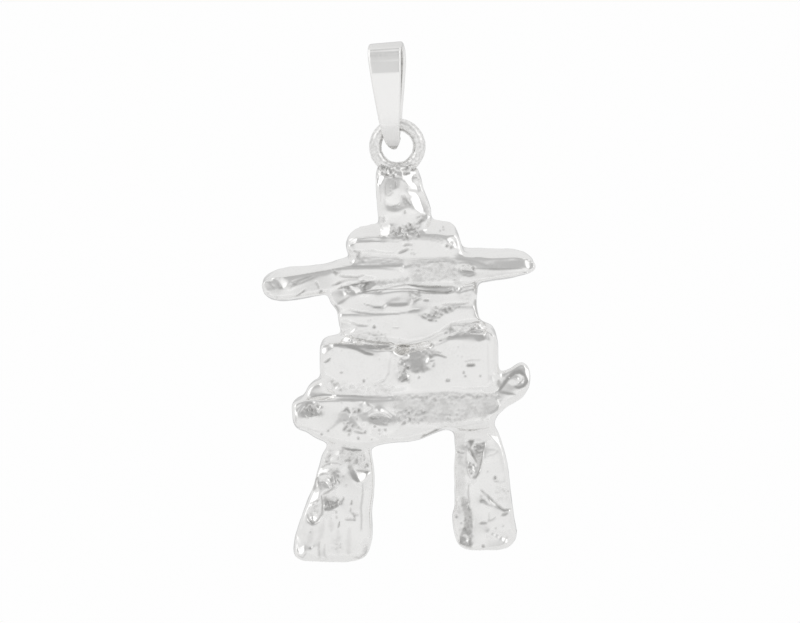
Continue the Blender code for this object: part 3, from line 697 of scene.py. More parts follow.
crack([5.55, -11.1, 6, -11.2, 6.5, -11.22, 6.95, -11.3], 0.16, 0.04, 0.7)
crack([5.9, -11.55, 6.5, -11.65, 7, -11.5], 0.12, 0.03, 0.6)
pits([6.85, -10.95], 0.2, 0.1, 0.8)
crack([6.1, -12.45, 6.8, -12.35, 7.4, -12.2], 0.14, 0.03, 0.35)

# Torso: a smooth face, split near its middle.
tilt([-4.2, -13.6, -1.5, -13.3, 0.5, -12.95, 1.8, -13.1, 3, -13.2, 5, -13.3, 6.8, -12.8, 6.9, -13.7,
      4, -14.1, 1.5, -14.5, -1.5, -14.9, -3.3, -14.8, -5.2, -14.5], 3.5, edge=0.3)
tilt([-6, -12.9, -5.3, -12.8, -4.9, -13.4, -4.6, -13.6, -5.3, -14.3, -5.8, -13.9], 4.5, 3, 0.3)
band([-5.4, -14.25, -4.9, -13.95, -4.3, -13.5], 0.2, 18, dark=0.35)
tilt([-0.8, -14, -0.5, -13.65, 0, -13.45, 0.35, -13.6, 0.2, -14], 13, 0, 0.3, 0.1, 0.05)
band([-1, -14.25, 0, -14.25, 1.15, -14.2], 0.3, 20, dark=0.4)
gleam([1, -14.1, 1.15, -13.85, 1.55, -13.75, 1.4, -14.15, 1.1, -14.3], -24)
band([-2.2, -14.45, -1.8, -14.5, -1.35, -14.45], 0.18, 20, dark=0.6)
gleam([-1.4, -14.5, -1.15, -14.22, -0.85, -14.18, -0.9, -14.42, -1.15, -14.55])
crack([-3, -14.12, -2.7, -14.2, -2.2, -14.28], 0.12, 0.05, 0.5)
crumple([1, -12.9, 2, -12.9, 2.2, -13.8, 1.3, -14], 0.05, 0.5, edge=0.3)
crack([1.45, -13.95, 1.8, -13.8, 2.1, -13.65], 0.2, 0.06, 0.7)
crack([2.4, -13.8, 2.9, -13.85], 0.16, 0.06, 0.7)
crack([3.8, -14.25, 5, -14.18, 6, -14.12, 6.5, -14], 0.16, 0.04, 0.45)
crack([-5, -14.62, -4.4, -14.65, -3.3, -14.9, -2, -15.05, 0, -15, 1.1, -14.85], 0.18, 0.04, 0.3)
crack([1, -14.85, 1.5, -14.72, 2, -14.7], 0.2, 0.06, 0.7)
crack([-5.2, -15.05, -3.8, -15.1, -2, -15.2], 0.14, 0.03, 0.15)
crumple([5, -12.5, 6.6, -12.4, 6.5, -13.9, 6, -13.9], 0.025, 0.1)

# Chest: a broad face with a pitted corner.
tilt([-4, -15.3, 0, -15.3, 2, -15, 5.8, -14.5, 7, -14.6, 6.8, -15.6, 4.8, -15.9, 3, -16.9, 0.8, -17.3,
      -1, -17.2, -3.6, -16.5], 1, edge=0.3)
tilt([1.9, -15.2, 2.9, -15, 3.1, -14.6, 5.5, -14.45, 5, -14.85, 4, -15.1, 3.3, -15.9, 2.7, -15.6], 11, 0,
     0.1, 0.1, 0.12)
crumple([1.9, -15.2, 2.9, -15, 3, -14.4, 5.6, -14.4, 5, -14.95, 4, -15.15, 3.3, -15.9, 2.7, -15.6], 0.06,
        0.75, edge=0.15)
crack([-4.15, -15.85, -3.5, -16.05, -2.6, -16.15], 0.17, 0.06, 0.65)
pits([-2.06, -16.2], 0.16, 0.1, 0.95)
pits([-1.7, -16.65, -2.4, -15.6, -2.6, -15.65], 0.1, 0.03, 0.3)
crack([-0.45, -16.25, 0.15, -16.28], 0.12, 0.03, 0.4)
tilt([-5.1, -15.75, -4.6, -15.75, -4.1, -16.1, -4.4, -16.6, -5, -16.6], 11, 2, dark=0.05)
gleam([-3.8, -16.4, -3.95, -16.65, -4.4, -16.95, -5, -17.05, -4.8, -16.8, -4.2, -16.6])
gleam([-4.9, -17.2, -4.1, -17.15, -4.1, -17.65, -4.8, -17.65], 24)
crack([1, -17.65, 2.2, -17.45, 3.2, -17.05, 4.1, -16.5, 4.9, -16.05], 0.16, 0.03, 0.3)
crack([-0.3, -17.55, 0.8, -17.75, 1.8, -17.75], 0.14, 0.03, 0.2)
pits([0.25, -17.55, 0.2, -17.3], 0.1, 0.04, 0.5)

# Left block: a mirror face under a dark edge.
tilt([-6.3, -18.4, -5.6, -18.1, -4.2, -18.1, -3.2, -18.4, -0.7, -18.4, -0.9, -20.4, -1.4, -21.2, -5, -21.2,
      -6.5, -20.4], 1, edge=0.3)
crumple([-4, -16.75, -2, -16.65, -0.9, -17, -0.8, -17.7, -2, -17.8, -4, -17.7], 0.06, 0.45, 0.2)
crumple([-3.1, -17.2, -1.8, -17.2, -1.8, -17.8, -3, -17.8], 0.05, 0.7)
band([-6, -17.8, -5, -17.85, -3.4, -17.98, -2, -18, -0.5, -17.85], 0.3, 20, dark=0.5)
band([-4.8, -17.9, -3.6, -18.2, -2.8, -18.6, -2.15, -18.72], 0.28, 20, dark=0.55)
band([-2.9, -18.15, -1.7, -18.2, -0.6, -17.95], 0.18, 20, dark=0.5)
gleam([-6.8, -18.4, -6.6, -17.98, -6.2, -17.76, -5.75, -17.76, -5.75, -17.98, -6.1, -18.12, -6.45, -18.35])
crack([-6.75, -18.5, -6.3, -18.3, -5.9, -18.1], 0.12, 0.03, 0.4)
crack([-6.6, -19.4, -6.3, -19.3, -5.95, -19], 0.18, 0.06, 0.75)
crack([-5.2, -20.3, -4.8, -20.3], 0.15, 0.05, 0.7)
pits([-3, -21.06], 0.15, 0.1, 0.95)
pits([-5, -18.35, -1.6, -19.1, -1, -19.15, -5.8, -18.35, -2.7, -20.85], 0.08, 0.03, 0.3)
crack([-0.5, -18.1, -0.7, -19.4, -0.8, -20.3, -1.2, -21, -2, -21.4], 0.26, 0.05, 0.15)
crumple([-4.9, -21.3, -1, -21.2, -0.4, -20.9, -0.2, -21.9, -1, -22.2, -4.9, -22.1], 0.035, 0.25, 0.3)
crumple([-6.3, -21, -5.2, -21.2, -5, -22, -6.2, -22], 0.07, 0.6, edge=0.2)
gleam(oval(-6.1, -21.5, 0.15, 0.35))
gleam(oval(-5.5, -21.75, 0.22, 0.13, 30))
crumple([-0.5, -18.6, 0.1, -18.6, 0.1, -20.2, -0.4, -20.2], 0.04, 0.15)

# Right block: a mirror face with a ragged hollow at its left and a small slit.
tilt([2.7, -18, 3.5, -17.85, 4.4, -17.45, 7, -17.6, 7.9, -17.7, 8.1, -21.6, 1.5, -21.8, 1, -20.6,
      2.7, -20.3, 3, -19.9, 2.7, -19.2, 3.1, -18.9], 1, edge=0.3)
block_top = [4, -16.95, 4.3, -16.5, 5, -16, 7, -15.95, 7.8, -15.7, 8.1, -16.2, 7.8, -16.75, 5.5, -16.95]
tilt(block_top, 6, 0, 0.2)
crumple(block_top, 0.06, 0.6, 0.4, 0.2)
crack([4, -16.65, 4.5, -16.35, 5.1, -15.98, 6.5, -15.95, 7.8, -15.72], 0.2, 0.03, 0.45)
gleam([6.9, -15.98, 7.5, -15.9, 7.4, -16.05], 24)
band([3.7, -17.5, 4.2, -17.3, 4.8, -17.15, 5.8, -17.05, 7, -17.02, 7.95, -17], 0.26, 16, dark=0.35)
tilt([6.8, -17.15, 7.95, -17, 7.95, -17.35, 7.3, -17.6, 7, -17.35], 16, 0, 0.1, 0.05, 0.3)
gleam(oval(8.08, -17.05, 0.12, 0.35), -24)
crack([1.9, -17.75, 3, -17.4, 3.8, -17, 4.3, -16.7], 0.14, 0.03, 0.25)
tilt([0.9, -18.1, 1.6, -18.1, 2, -18.3, 2.9, -18.1, 3.3, -18.4, 4, -18.45, 4, -18.65, 3, -18.9, 2.6, -18.95,
      2.3, -19.3, 2.45, -19.7, 3, -20, 2.5, -20.3, 1.7, -20.45, 1.3, -20.3, 1.15, -19.3, 1.1, -18.8], 14, 0,
     0.2, 0.2, 0.3)
crumple([0.9, -18.1, 3, -18.1, 4, -18.5, 2.6, -18.95, 2.3, -19.4, 3, -20, 1.7, -20.45, 1.15, -19.3], 0.035,
        0.5, edge=0.2)
crack([3.2, -18.62, 4, -18.78, 4.45, -18.98], 0.18, 0.06, 0.7)
tilt([0.3, -19.2, 0.7, -19.05, 1.1, -19.1, 1.15, -19.7, 0.9, -20.05, 0.35, -19.75], 24, 0, 0.1, 0.15, 0.3)
tilt([0.1, -20.1, 0.5, -20.2, 0.9, -20.4, 0.95, -20.9, 0.7, -21.2, 0.35, -21], 24, 0, 0.1, 0.15, 0.25)
crumple([0.1, -19.1, 1.2, -19, 1.2, -20.2, 1, -21.2, 0.2, -21.1], 0.08, 0.85, edge=0.2)
gleam(oval(0.96, -19.55, 0.16, 0.13), 24)
band([0.15, -20, 0.5, -20.15, 0.85, -20.45], 0.14, 12, -24)
crumple([0, -18, 0.9, -18.2, 0.9, -19, 0.1, -19.1], 0.03, 0.35, edge=0.2)
tilt([3, -17.6, 4.4, -17.1, 4.5, -17.5, 3.4, -18], 3, 0, 0.2)
crack([2.9, -19.25, 3.4, -19.2], 0.16, 0.05, 0.65)
pits([3.25, -19.7, 3.3, -19.5], 0.12, 0.05, 0.6)
crack([6.2, -19.62, 6.6, -19.66, 7, -19.6], 0.26, 0.12, 0.95, 0.3)
crack([5.9, -19.38, 6.6, -19.2, 7.5, -19.15], 0.13, 0.03, 0.4)
pits([6.1, -20.62, 7.45, -20.6, 4.45, -21, 4.65, -21, 1.95, -20.75, 5.97, -20.3], 0.12, 0.06, 0.75)
pits([5.45, -18.8, 5.8, -18.9, 5.5, -18], 0.1, 0.03, 0.25)
crack([8.1, -17.6, 8.15, -19.5, 8.2, -21.3], 0.2, 0.03, 0.12)
# Painted shade along these rims: strokes with no depth that only darken the silver at its edges.
for rim in ([7, -13.8, 7.2, -14.8, 7.55, -15.7], [6.95, -12.2, 7.1, -13.3], [-5.6, -14.3, -5.3, -15],
            [9.1, -21, 9.2, -21.7], [2.85, -18.9, 3.15, -18.9], [2.95, -17.9, 3.3, -17.9],
            [-7.15, -29.7, -7.3, -30.3, -7.5, -30.9]):
    crack(rim, 0.6, 0, 0.62)
gleam(oval(8.62, -20.9, 0.14, 0.36), -24)
crack([4.8, -21.7, 6.5, -21.8, 8.1, -21.75], 0.12, 0.02, 0.12)

# Hips, left end: a rounded stone with a black hollow, a bright rim, and torn dents.
tilt([-6.9, -22.95, -5.2, -22.95, -2.6, -23, -2.8, -25.8, -1, -26.4, -4, -26.8, -7, -26, -8.8, -25,
      -8.8, -24.5, -7, -24.2], 2, edge=0.4)
band([-8.25, -22.8, -7.4, -22.45, -6.5, -22.3, -4.5, -22.38, -2.5, -22.5, -1.4, -22.4], 0.18, 16, dark=0.3)
crack([-7.6, -22.9, -6.6, -22.72, -4, -22.78, -2.4, -22.82], 0.16, 0.03, 0.3)
gleam([-8.95, -23.9, -8.9, -23.5, -8.5, -23.2, -8.15, -22.8, -8.2, -23.1, -8.6, -23.6])
tilt([-8.1, -23, -7.5, -22.95, -7.3, -23.3, -6.95, -23.45, -7.2, -23.7, -6.95, -24.15, -7.5, -24.25,
      -8, -24.45, -8.6, -24.2, -8.75, -23.95, -8.3, -23.4], 20, 0, 0.12, 0.16, 0.35)
crumple([-8.1, -23, -7.2, -23, -6.9, -23.5, -7, -24.2, -8, -24.4, -8.6, -24.1], 0.09, 0.8, edge=0.2)
crumple([-7.2, -23.2, -6.7, -23.4, -6.7, -24.2, -7.2, -24.3], 0.06, 0.7, edge=0.2)
crack([-9.1, -24.2, -9.08, -24.9], 0.14, 0.05, 0.5)
tilt([-4.9, -23.5, -4.3, -23.5, -4.2, -24, -4.5, -24.7, -5.2, -24.85, -5.7, -25.3, -6.2, -25.5, -5.6, -24.9,
      -5.35, -24.5, -5.3, -24], 15, 0, 0.2, 0.08, 0.12)
crack([-4.8, -23.75, -4.5, -23.5, -4.25, -23.9], 0.26, 0.05, 0.7, 0.7)
crumple([-4.2, -23.4, -3.3, -23.5, -3.3, -24.1, -3.9, -24.2], 0.08, 0.85, edge=0.2)
crumple([-4.9, -24.7, -4, -24.8, -3.8, -25.3, -4.2, -26, -4.9, -25.6], 0.08, 0.8, edge=0.2)
crack([-3.95, -25.6, -3.5, -25.65, -3.1, -25.72], 0.18, 0.06, 0.7)
pits([-2.88, -25.65, -3.5, -26.2, -6.8, -25.85, -2, -25.15, -1.07, -25.45, -1.62, -25.5, -6.2, -25.5], 0.14,
     0.07, 0.7)
pits([-1.6, -25.85, -2.3, -26.3, -5, -23], 0.1, 0.04, 0.4)
tilt([-2.7, -23.2, -2, -22.9, -0.2, -22.9, 0.1, -23.6, -0.8, -23.75, -2, -23.55], 9, 0, 0.3)
crack([-2.75, -23, -2.4, -23.35, -2.1, -23.5], 0.2, 0.05, 0.5)
tilt([-2.6, -24.4, -2.2, -24.15, -1.4, -24.1, -0.9, -24.35, -0.4, -24.6, -1, -24.95, -1.9, -25.05,
      -2.5, -24.75], 24, 0, 0.12, 0.06, 0.2)
crumple([-2.6, -24.3, -1.4, -24, -0.5, -24.6, -1, -25, -2.4, -24.9], 0.05, 0.6, edge=0.2)
crack([-2.5, -24.35, -2, -24.1, -1.3, -24.1, -0.6, -24.55], 0.18, 0.04, 0.5)
gleam([-2.9, -24, -2.5, -23.6, -1.8, -23.5, -1.6, -23.9, -2.5, -24.05])
gleam([-1.6, -23.5, -1, -23.65, -0.3, -24.2, -0.5, -24.4, -1.4, -23.95], -24)
gleam([-4.2, -24.2, -3.5, -24.2, -3, -24.7, -3.3, -25, -4, -24.6])
gleam([-3.8, -24.9, -3.2, -25.1, -3.3, -25.5, -3.9, -25.5], -24)
gleam([-3.3, -23.1, -2.85, -22.95, -2.6, -23.5, -2.9, -23.65])
pits([-3.6, -24.45, -3.5, -25.2], 0.1, 0.04, 0.5)
tilt([-3, -22.1, 0.8, -22.1, 0.8, -22.6, -3, -22.6], 5, 0, 0.3)
tilt([8.9, -21.9, 9.5, -21.9, 9.5, -23.3, 9, -23.4], 9, 0, 0.3)
crack([-8, -25.4, -6.6, -25.65], 0.14, 0.03, 0.2)

# Hips, right: a band left matt from the mould, with upright streaks, over a bright lower edge.
tilt([-0.2, -22.3, 2, -22.1, 4.5, -22, 7, -22.1, 9.1, -22, 9.1, -22.9, 9, -23.6, 7.9, -24.2, 5.3, -24.85,
      2, -24.9, 0, -24.75], 7.5, 0, 0.3, 0.1, 0.04)
crumple([-0.4, -22.5, 2, -22.3, 4.5, -22.1, 7, -22.4, 9, -22.1, 9.3, -22.9, 9, -23.6, 7.9, -24.2,
         5.3, -24.9, 2, -24.95, -0.2, -24.8], 0.016, 0.3, 1, 0.3)
for x in (1.4, 3.1, 5.4, 6.9):
    band([x, -22.8, x + 0.1, -23.6, x - 0.1, -24.4], 0.4, 3, edge=0.5)
for x, wide in ((0.3, 0.9), (2.4, 0.7), (4.1, 1.1), (6.2, 0.6), (7.8, 0.9)):
    crack([x, -22.5, x + 0.25, -23.4, x - 0.2, -24.6], wide, 0.01, 0.2, 1.2)
crumple([0, -23.6, 2.4, -23.7, 2.3, -24.9, 0.1, -24.9], 0.08, 0.75, 0.3, 0.3)
crumple([0.5, -22.4, 8.8, -22.2, 8.8, -22.6, 0.5, -22.8], 0.05, 0.5, 0.6, 0.3)
crumple([4, -23.8, 5.4, -23.9, 5.3, -24.6, 4.1, -24.5], 0.05, 0.4, 0.3, 0.3)
band([8.2, -24.05, 8.9, -23.7, 9.2, -23.2], 0.3, 17, dark=0.2)
tilt([0, -25.1, 2, -25.15, 4.2, -25.1, 2.5, -25.8, 0.5, -26.3, -1, -26.3], 3.5, edge=0.3)
crack([3.8, -25.15, 5.5, -25.2, 7.6, -24.8, 8.4, -24.3], 0.14, 0.03, 0.12)
crack([2.1, -26.2, 2.9, -25.85, 3.5, -25.55, 4.3, -25.4], 0.36, 0.06, 0.75, 0.8)

# Horn: the upturned end, with a deep ring round a smooth knob.
band([9.15, -21.95, 9.6, -21.3, 10, -20.75, 10.5, -20.35, 11, -20.25, 11.5, -20.6, 11.65, -21.1,
      11.4, -21.5, 10.9, -21.68, 10.55, -21.6], 0.34, 20, dark=0.55)
tilt([10.2, -20.2, 10.8, -19.9, 11.4, -20, 11.6, -20.4, 11, -20.3], 24, 0, 0.1, 0.05, 0.25)
crack([10.9, -21.25, 11.3, -21.1, 11.25, -20.75], 0.2, 0.04, 0.5)
tilt(oval(10.4, -21.1, 0.5, 0.32, 30), -2, 8)
gleam([11.45, -20, 11.75, -20.1, 11.88, -20.6, 11.78, -21, 11.62, -20.5], -24)
band([9.2, -22.05, 9.9, -22.2, 10.7, -22.32], 0.2, 18, dark=0.4)
crumple([9.5, -20.4, 10.2, -20.2, 9.8, -21, 9.3, -21.6], 0.04, 0.2)

# Left leg: a torn top, a globe and a bowl at the left, a notch at the right, and soft folds below.
tilt([-5, -29.3, -4.4, -29.4, -3.9, -30.3, -3.3, -30.5, -3.3, -35.6, -4, -36.8, -7, -36.5, -8.4, -35,
      -7.6, -34.1, -6.6, -33.4, -5.6, -32.8, -5.2, -31.5, -5.5, -30.9], 4, edge=0.4)
tilt([-5.4, -29.6, -4.6, -29.3, -3.3, -30.6, -3.2, -32.6, -4.6, -33.4, -5.3, -32], 7, edge=0.5, dark=0.02)
crumple([-6.7, -28.4, -6.2, -27.4, -5, -27.2, -3, -27.4, -2.5, -28.6, -2.8, -29.3, -4.2, -28.6, -5.2, -28.4,
         -6.2, -28.5], 0.07, 0.6, 0.3, 0.25)
crumple([-5.2, -27.4, -3.2, -27.4, -2.6, -28.7, -3, -29.2, -4.2, -28.4, -5.2, -28.1], 0.1, 0.85, edge=0.25)
band([-5, -27.05, -4.2, -27.25, -3.2, -27.3], 0.3, 20, dark=0.55)
gleam(oval(-5.45, -27.55, 0.26, 0.3), 28, 16)
gleam(oval(-5.75, -28.2, 0.25, 0.38, 10), 28, 16)
crack([-6.9, -28.95, -6.3, -28.55, -5.7, -28.45, -5, -28.6], 0.18, 0.05, 0.5)
tilt([-6.3, -28.9, -5.8, -28.55, -5.2, -28.8, -5.3, -29, -6, -29], -4, 4)
tilt([-6.1, -29.1, -5.4, -29, -5.25, -29.5, -5.3, -30.2, -5.7, -30.4, -5.6, -30.8, -6.05, -30.6, -6.1, -30,
      -6, -29.5], 24, 0, 0.15, 0.2, 0.4)
crumple([-6.1, -28.9, -5.3, -28.9, -5, -29.6, -5.2, -30.3, -5.5, -30.9, -6.1, -30.7], 0.09, 0.8, edge=0.2)
gleam([-7.1, -29.38, -6.5, -28.95, -6.05, -28.95, -5.95, -29.22, -6.3, -29.32])
crack([-7.3, -29.55, -6.7, -29.42, -6.1, -29.45], 0.16, 0.05, 0.5)
tilt([-7.1, -29.65, -6.2, -29.6, -6.1, -30.1, -7.1, -30.15], -3, 10)
tilt([-7.15, -30.4, -6.2, -30.3, -5.95, -30.7, -6.4, -30.9, -7, -30.85], 10, 0, 0.5, 0.1)
crumple([-7, -29.8, -6.2, -29.7, -6, -30.6, -6.9, -30.7], 0.05, 0.3)
crack([-5.6, -30.55, -6, -30.9, -6.7, -31.3], 0.26, 0.07, 0.65)
gleam([-7.3, -31.1, -7.05, -31, -7.1, -31.7, -7.3, -31.95, -7.65, -31.9, -7.5, -31.4])
crack([-7.95, -32.15, -7.4, -32, -7, -31.7], 0.2, 0.05, 0.5)
crack([-8.05, -33, -8, -33.5, -7.6, -33.88, -7.1, -33.6, -6.75, -33, -6.7, -32.2, -6.8, -31.4], 0.3, 0.09,
      0.65)
crumple([-7.9, -32.2, -7, -32.2, -6.9, -33.2, -7.4, -33.7, -7.9, -33.4], 0.08, 0.4, edge=0.2)
gleam([-7.5, -32.9, -7.3, -32.9, -7.3, -33.6, -7.5, -33.65])
tilt([-6.6, -31.5, -6.2, -31.6, -5.6, -31.9, -5, -31.9, -5.3, -32.3, -5.7, -32.6, -6.2, -32.85, -6.6, -32.7,
      -6.5, -32], 20, 0, 0.1, 0.14, 0.5)
crumple([-6.6, -31.4, -5.4, -31.5, -5, -31.9, -5.7, -32.7, -6.6, -32.8], 0.08, 0.8, edge=0.2)
tilt([-4.5, -28.7, -4.1, -28.6, -3.9, -29, -3.4, -30.1, -3.6, -30.2, -4, -29.9, -4.3, -29.2], 22, 0, 0.1,
     0.05, 0.5)
gleam([-3.7, -29.3, -3.3, -29.35, -2.75, -29.35, -2.85, -29.8, -3.1, -30.2, -3.4, -29.9])
crack([-3.7, -29.1, -3, -29.2, -2.4, -29.2], 0.3, 0.06, 0.7, 0.6)
crack([-3.15, -30.2, -3.1, -31.2, -3.25, -32.4, -3.2, -33.5, -3.25, -34.6], 0.24, 0.04, 0.45, 0.4)
crack([-4.7, -33.5, -4.1, -33.48, -3.75, -33.5], 0.16, 0.06, 0.65)
crack([-4.15, -32.85, -3.85, -33.1, -3.8, -33.65], 0.24, 0.06, 0.7)
crack([-4, -33.05, -3.4, -33.12], 0.14, 0.05, 0.6)
tilt([-4.7, -33.6, -3.7, -33.65, -3.5, -33.9, -4.2, -34], 8, 0, 0.3)
for line in ([-4.75, -31.5, -5.1, -32.2], [-4.05, -31.75, -4.12, -32.2], [-4.15, -32.45, -4.2, -32.8],
             [-5.15, -33.65, -5.3, -34.25], [-5.55, -32.75, -5.45, -32.95], [-5.5, -33.2, -5.4, -33.4]):
    crack(line, 0.18, 0.06, 0.75)
for line in ([-6.6, -33.6, -6.8, -34.6, -7.2, -35.8], [-6, -33.3, -5.9, -34.6], [-5.3, -34.4, -5.4, -36.4],
             [-4.3, -34.2, -4.4, -36.6], [-7.7, -34.3, -7.9, -36]):
    band(line, 0.4, 7.5, edge=0.4, rough=0.1)
    crack(line, 0.6, 0.01, 0.14, 0.6)
crack([-8.95, -35.1, -8.75, -35.8, -8.55, -36.3], 0.16, -0.05)
crack([-9.05, -35.8, -9, -36.5, -8.6, -36.75, -8.35, -36.4], 0.16, -0.06)
crack([-9.15, -35, -8.9, -36, -8.75, -36.4], 0.16, 0.05, 0.5)
crack([-8.9, -36.75, -8.5, -36.95, -8.2, -36.6, -8.35, -36], 0.16, 0.05, 0.4)
pits([-7.8, -36.05], 0.14, 0.06, 0.7)
gleam(oval(-7.62, -35.95, 0.12, 0.1))
gleam([-9.05, -35, -8.85, -35, -8.75, -35.9, -8.45, -36.5, -8.7, -36.7, -8.95, -36.2])
gleam([-8.6, -35.9, -8.4, -35.95, -8.3, -36.4, -8.45, -36.5])
tilt([-7.4, -36.8, -7, -36, -6.5, -36.1, -6.2, -37, -7.1, -37.1], 9, 0, 0.6, 0.2, 0.05)
crack([-7, -35.4, -7.05, -36.2, -6.95, -36.95], 0.22, 0.04, 0.5, 0.6)
crack([-6.5, -35.7, -6.55, -36.4, -6.4, -36.95], 0.18, 0.04, 0.4, 0.6)
tilt([-3.1, -36, -2.6, -35.7, -2.6, -36.6, -3, -37, -3.5, -37, -3.2, -36.6], 12, 0, 0.2, 0.08, 0.12)
crack([-3.9, -36.9, -3.4, -36.95, -3, -36.6], 0.2, 0.03, 0.4)
pits([-5.1, -35.7, -5.1, -35.98, -7.8, -34.6, -4.6, -30.4, -4.85, -29.6], 0.1, 0.04, 0.5)
crumple([-5.9, -35, -5, -35, -5.1, -36.6, -5.9, -36.2], 0.03, 0.15)

# Right leg: a grey inner flank, a torn pocket at the top, a long dark groove and a cracked face.
tilt([6.9, -30, 7.8, -28.4, 9.2, -28.2, 9.7, -30, 10, -33, 10.1, -34.6, 8.4, -34.6, 8, -36, 7, -36, 7, -33],
     3.3, edge=0.4)
tilt([5.3, -25.8, 6.05, -25.8, 6.1, -31, 5.9, -31.4, 5.4, -31.4], 3, 4, 0.2, dark=0.18)
crumple([5.3, -25.9, 6, -25.9, 6.1, -31, 5.4, -31], 0.03, 0.35)
crack([5.3, -27.35, 5.7, -27.48, 6.1, -27.45], 0.18, 0.06, 0.6)
crack([6.15, -27.2, 6.15, -28.4, 6.3, -29.3, 6.6, -29.9], 0.16, 0.05, 0.5)
tilt([6.15, -26.6, 6.6, -26.3, 6.95, -26.35, 6.85, -26.7, 6.6, -27.1, 6.9, -27.6, 7.15, -28.2, 6.7, -27.8,
      6.4, -27.3], 22, 0, 0.1, 0.06, 0.75)
tilt([6.9, -26.7, 7.9, -26.55, 7.75, -27.4, 7.55, -28.3, 7.4, -29.2, 7.1, -29.9, 6.75, -29.85, 7.05, -29.2,
      7.2, -28.4, 7, -27.6, 6.8, -27], 24, 0, 0.1, 0.08, 0.4)
crumple([6.9, -26.7, 7.8, -26.6, 7.5, -28.2, 7.2, -28.4], 0.07, 0.8, edge=0.15)
crack([7.85, -26.6, 7.65, -27.7, 7.4, -29, 7, -29.9], 0.22, 0.06, 0.85)
crack([7, -27.2, 7.3, -27.5, 7.6, -27.4], 0.16, 0.05, 0.8)
crack([7, -26.95, 7.35, -26.85, 7.65, -27], 0.14, 0.05, 0.8)
crack([6.5, -27.2, 6.8, -27.8, 7.2, -28.5], 0.26, 0.05, 0.85)
gleam(oval(6.35, -26.82, 0.12, 0.2), 24)
tilt([6.3, -27.4, 6.9, -28, 7, -28.5, 6.4, -28.4], -4, 10)
crumple([6.3, -28.4, 6.9, -28.5, 6.8, -29.4, 6.4, -29.3], 0.09, 0.8, edge=0.15)
crack([8, -27.2, 8.6, -27.15, 9, -27.35, 8.7, -27.65, 8.1, -27.8], 0.14, 0.03, 0.2)
crack([8, -26.4, 7.95, -27.2, 7.9, -28], 0.16, 0.03, 0.15)
gleam([8.15, -25.85, 8.6, -25.98, 8.92, -26.2, 9.05, -26.55, 8.75, -26.3, 8.4, -26.1], -24)
band([9.15, -26.8, 9.4, -27.8, 9.65, -29], 0.2, 3, -12)
crack([7, -26.3, 7.6, -26.4], 0.12, 0.03, 0.4)
pits([8.77, -29.75], 0.17, 0.12, 0.95)
dent(8.9, -30.05, 0.35, 0.15, 0.04, 0, 0.3)
crack([7.5, -30.88, 8.1, -31.4, 8.6, -31.92, 9.1, -32.35, 9.6, -32.68, 10.2, -32.58], 0.24, 0.1, 0.85, 0.3)
crumple([7.4, -31.3, 8, -31.6, 8.8, -32.2, 8.4, -32.4, 7.5, -32], 0.09, 0.6, edge=0.2)
gleam([7.6, -31.9, 8.1, -32, 8.6, -32, 8.95, -32.35, 8.6, -32.45, 8, -32.25], -24)
gleam([7.55, -31.15, 7.85, -31.25, 8.3, -31.8, 8.2, -32, 7.7, -31.5], 24)
crack([9.35, -33.1, 9.7, -33, 9.95, -32.85], 0.3, 0.05, 0.5)
crack([7.45, -33.8, 8, -33.78], 0.18, 0.06, 0.6, 0.7)
crack([8.3, -33.6, 8.6, -33.45, 8.9, -33.25], 0.12, 0.04, 0.45, 0.8)
gleam(oval(8.12, -33.7, 0.08, 0.1))
crack([8.25, -33.6, 8.25, -32.9], 0.12, 0.04, 0.4)
crack([9.3, -35, 10, -35.2], 0.16, 0.04, 0.55)
tilt([8, -35, 8.6, -35.15, 10, -35.55, 9.3, -36, 7.8, -36.1, 7.9, -35.4], 8, 0, 0.2, dark=0.03)
tilt([8.9, -33.7, 9.9, -33.8, 9.9, -34.8, 9.2, -34.6], 7, 0, 0.4)
for x in (8.35, 8.75, 9.15, 9.55, 9.95):
    gleam(oval(x, -34.75 - 0.42 * (x - 8.35), 0.24, 0.18, -20), -34, 3, 0.08)
pits([7.72, -35.92], 0.17, 0.08, 0.85)
pits([9.45, -30.8, 9.6, -30.95, 9.95, -31, 8.85, -34.3, 9.5, -34.1, 8.1, -29.2, 5.75, -33.8], 0.11, 0.04,
     0.5)
crumple([8.6, -29.9, 9.9, -29.8, 10.2, -32.2, 8.9, -31.9], 0.025, 0.15)
tilt([5.7, -31.6, 6, -31.5, 6.3, -32.2, 6.6, -32.5, 6.75, -33.2, 6.75, -34.5, 6.65, -36.1, 6.2, -36,
      5.5, -35.7, 5.7, -34.8, 6, -34, 6, -33, 5.7, -32.2], 17, 0, 0.1, 0.06, 0.5)
crumple([5.7, -31.5, 6.3, -31.7, 6.8, -33, 6.7, -36.1, 5.5, -35.7, 6, -34, 6, -33], 0.04, 0.75, edge=0.2)
tilt([5.1, -32.9, 5.7, -32.3, 5.95, -33.2, 5.8, -34.2, 5.3, -34.6], 2, 3, 0.2)
pits([5.3, -33.2], 0.2, 0.06, 0.5)
tilt([5, -31.8, 5.65, -31.8, 5.65, -32.9, 5, -33], -2, 0, 0.2, dark=0.1)
crack([6.4, -30.4, 6.35, -31.2, 6.5, -32.2], 0.18, 0.05, 0.5)
band([6.55, -30.2, 6.62, -31.5, 6.88, -33, 6.88, -34.8, 6.75, -36.1], 0.16, -4, 14)
crumple([5.8, -34.8, 6.4, -34.8, 6.4, -35.6, 5.9, -35.5], 0.08, 0.3, edge=0.1)
gleam(oval(6.1, -35, 0.14, 0.1))
gleam(oval(6.28, -35.35, 0.11, 0.16), -24)

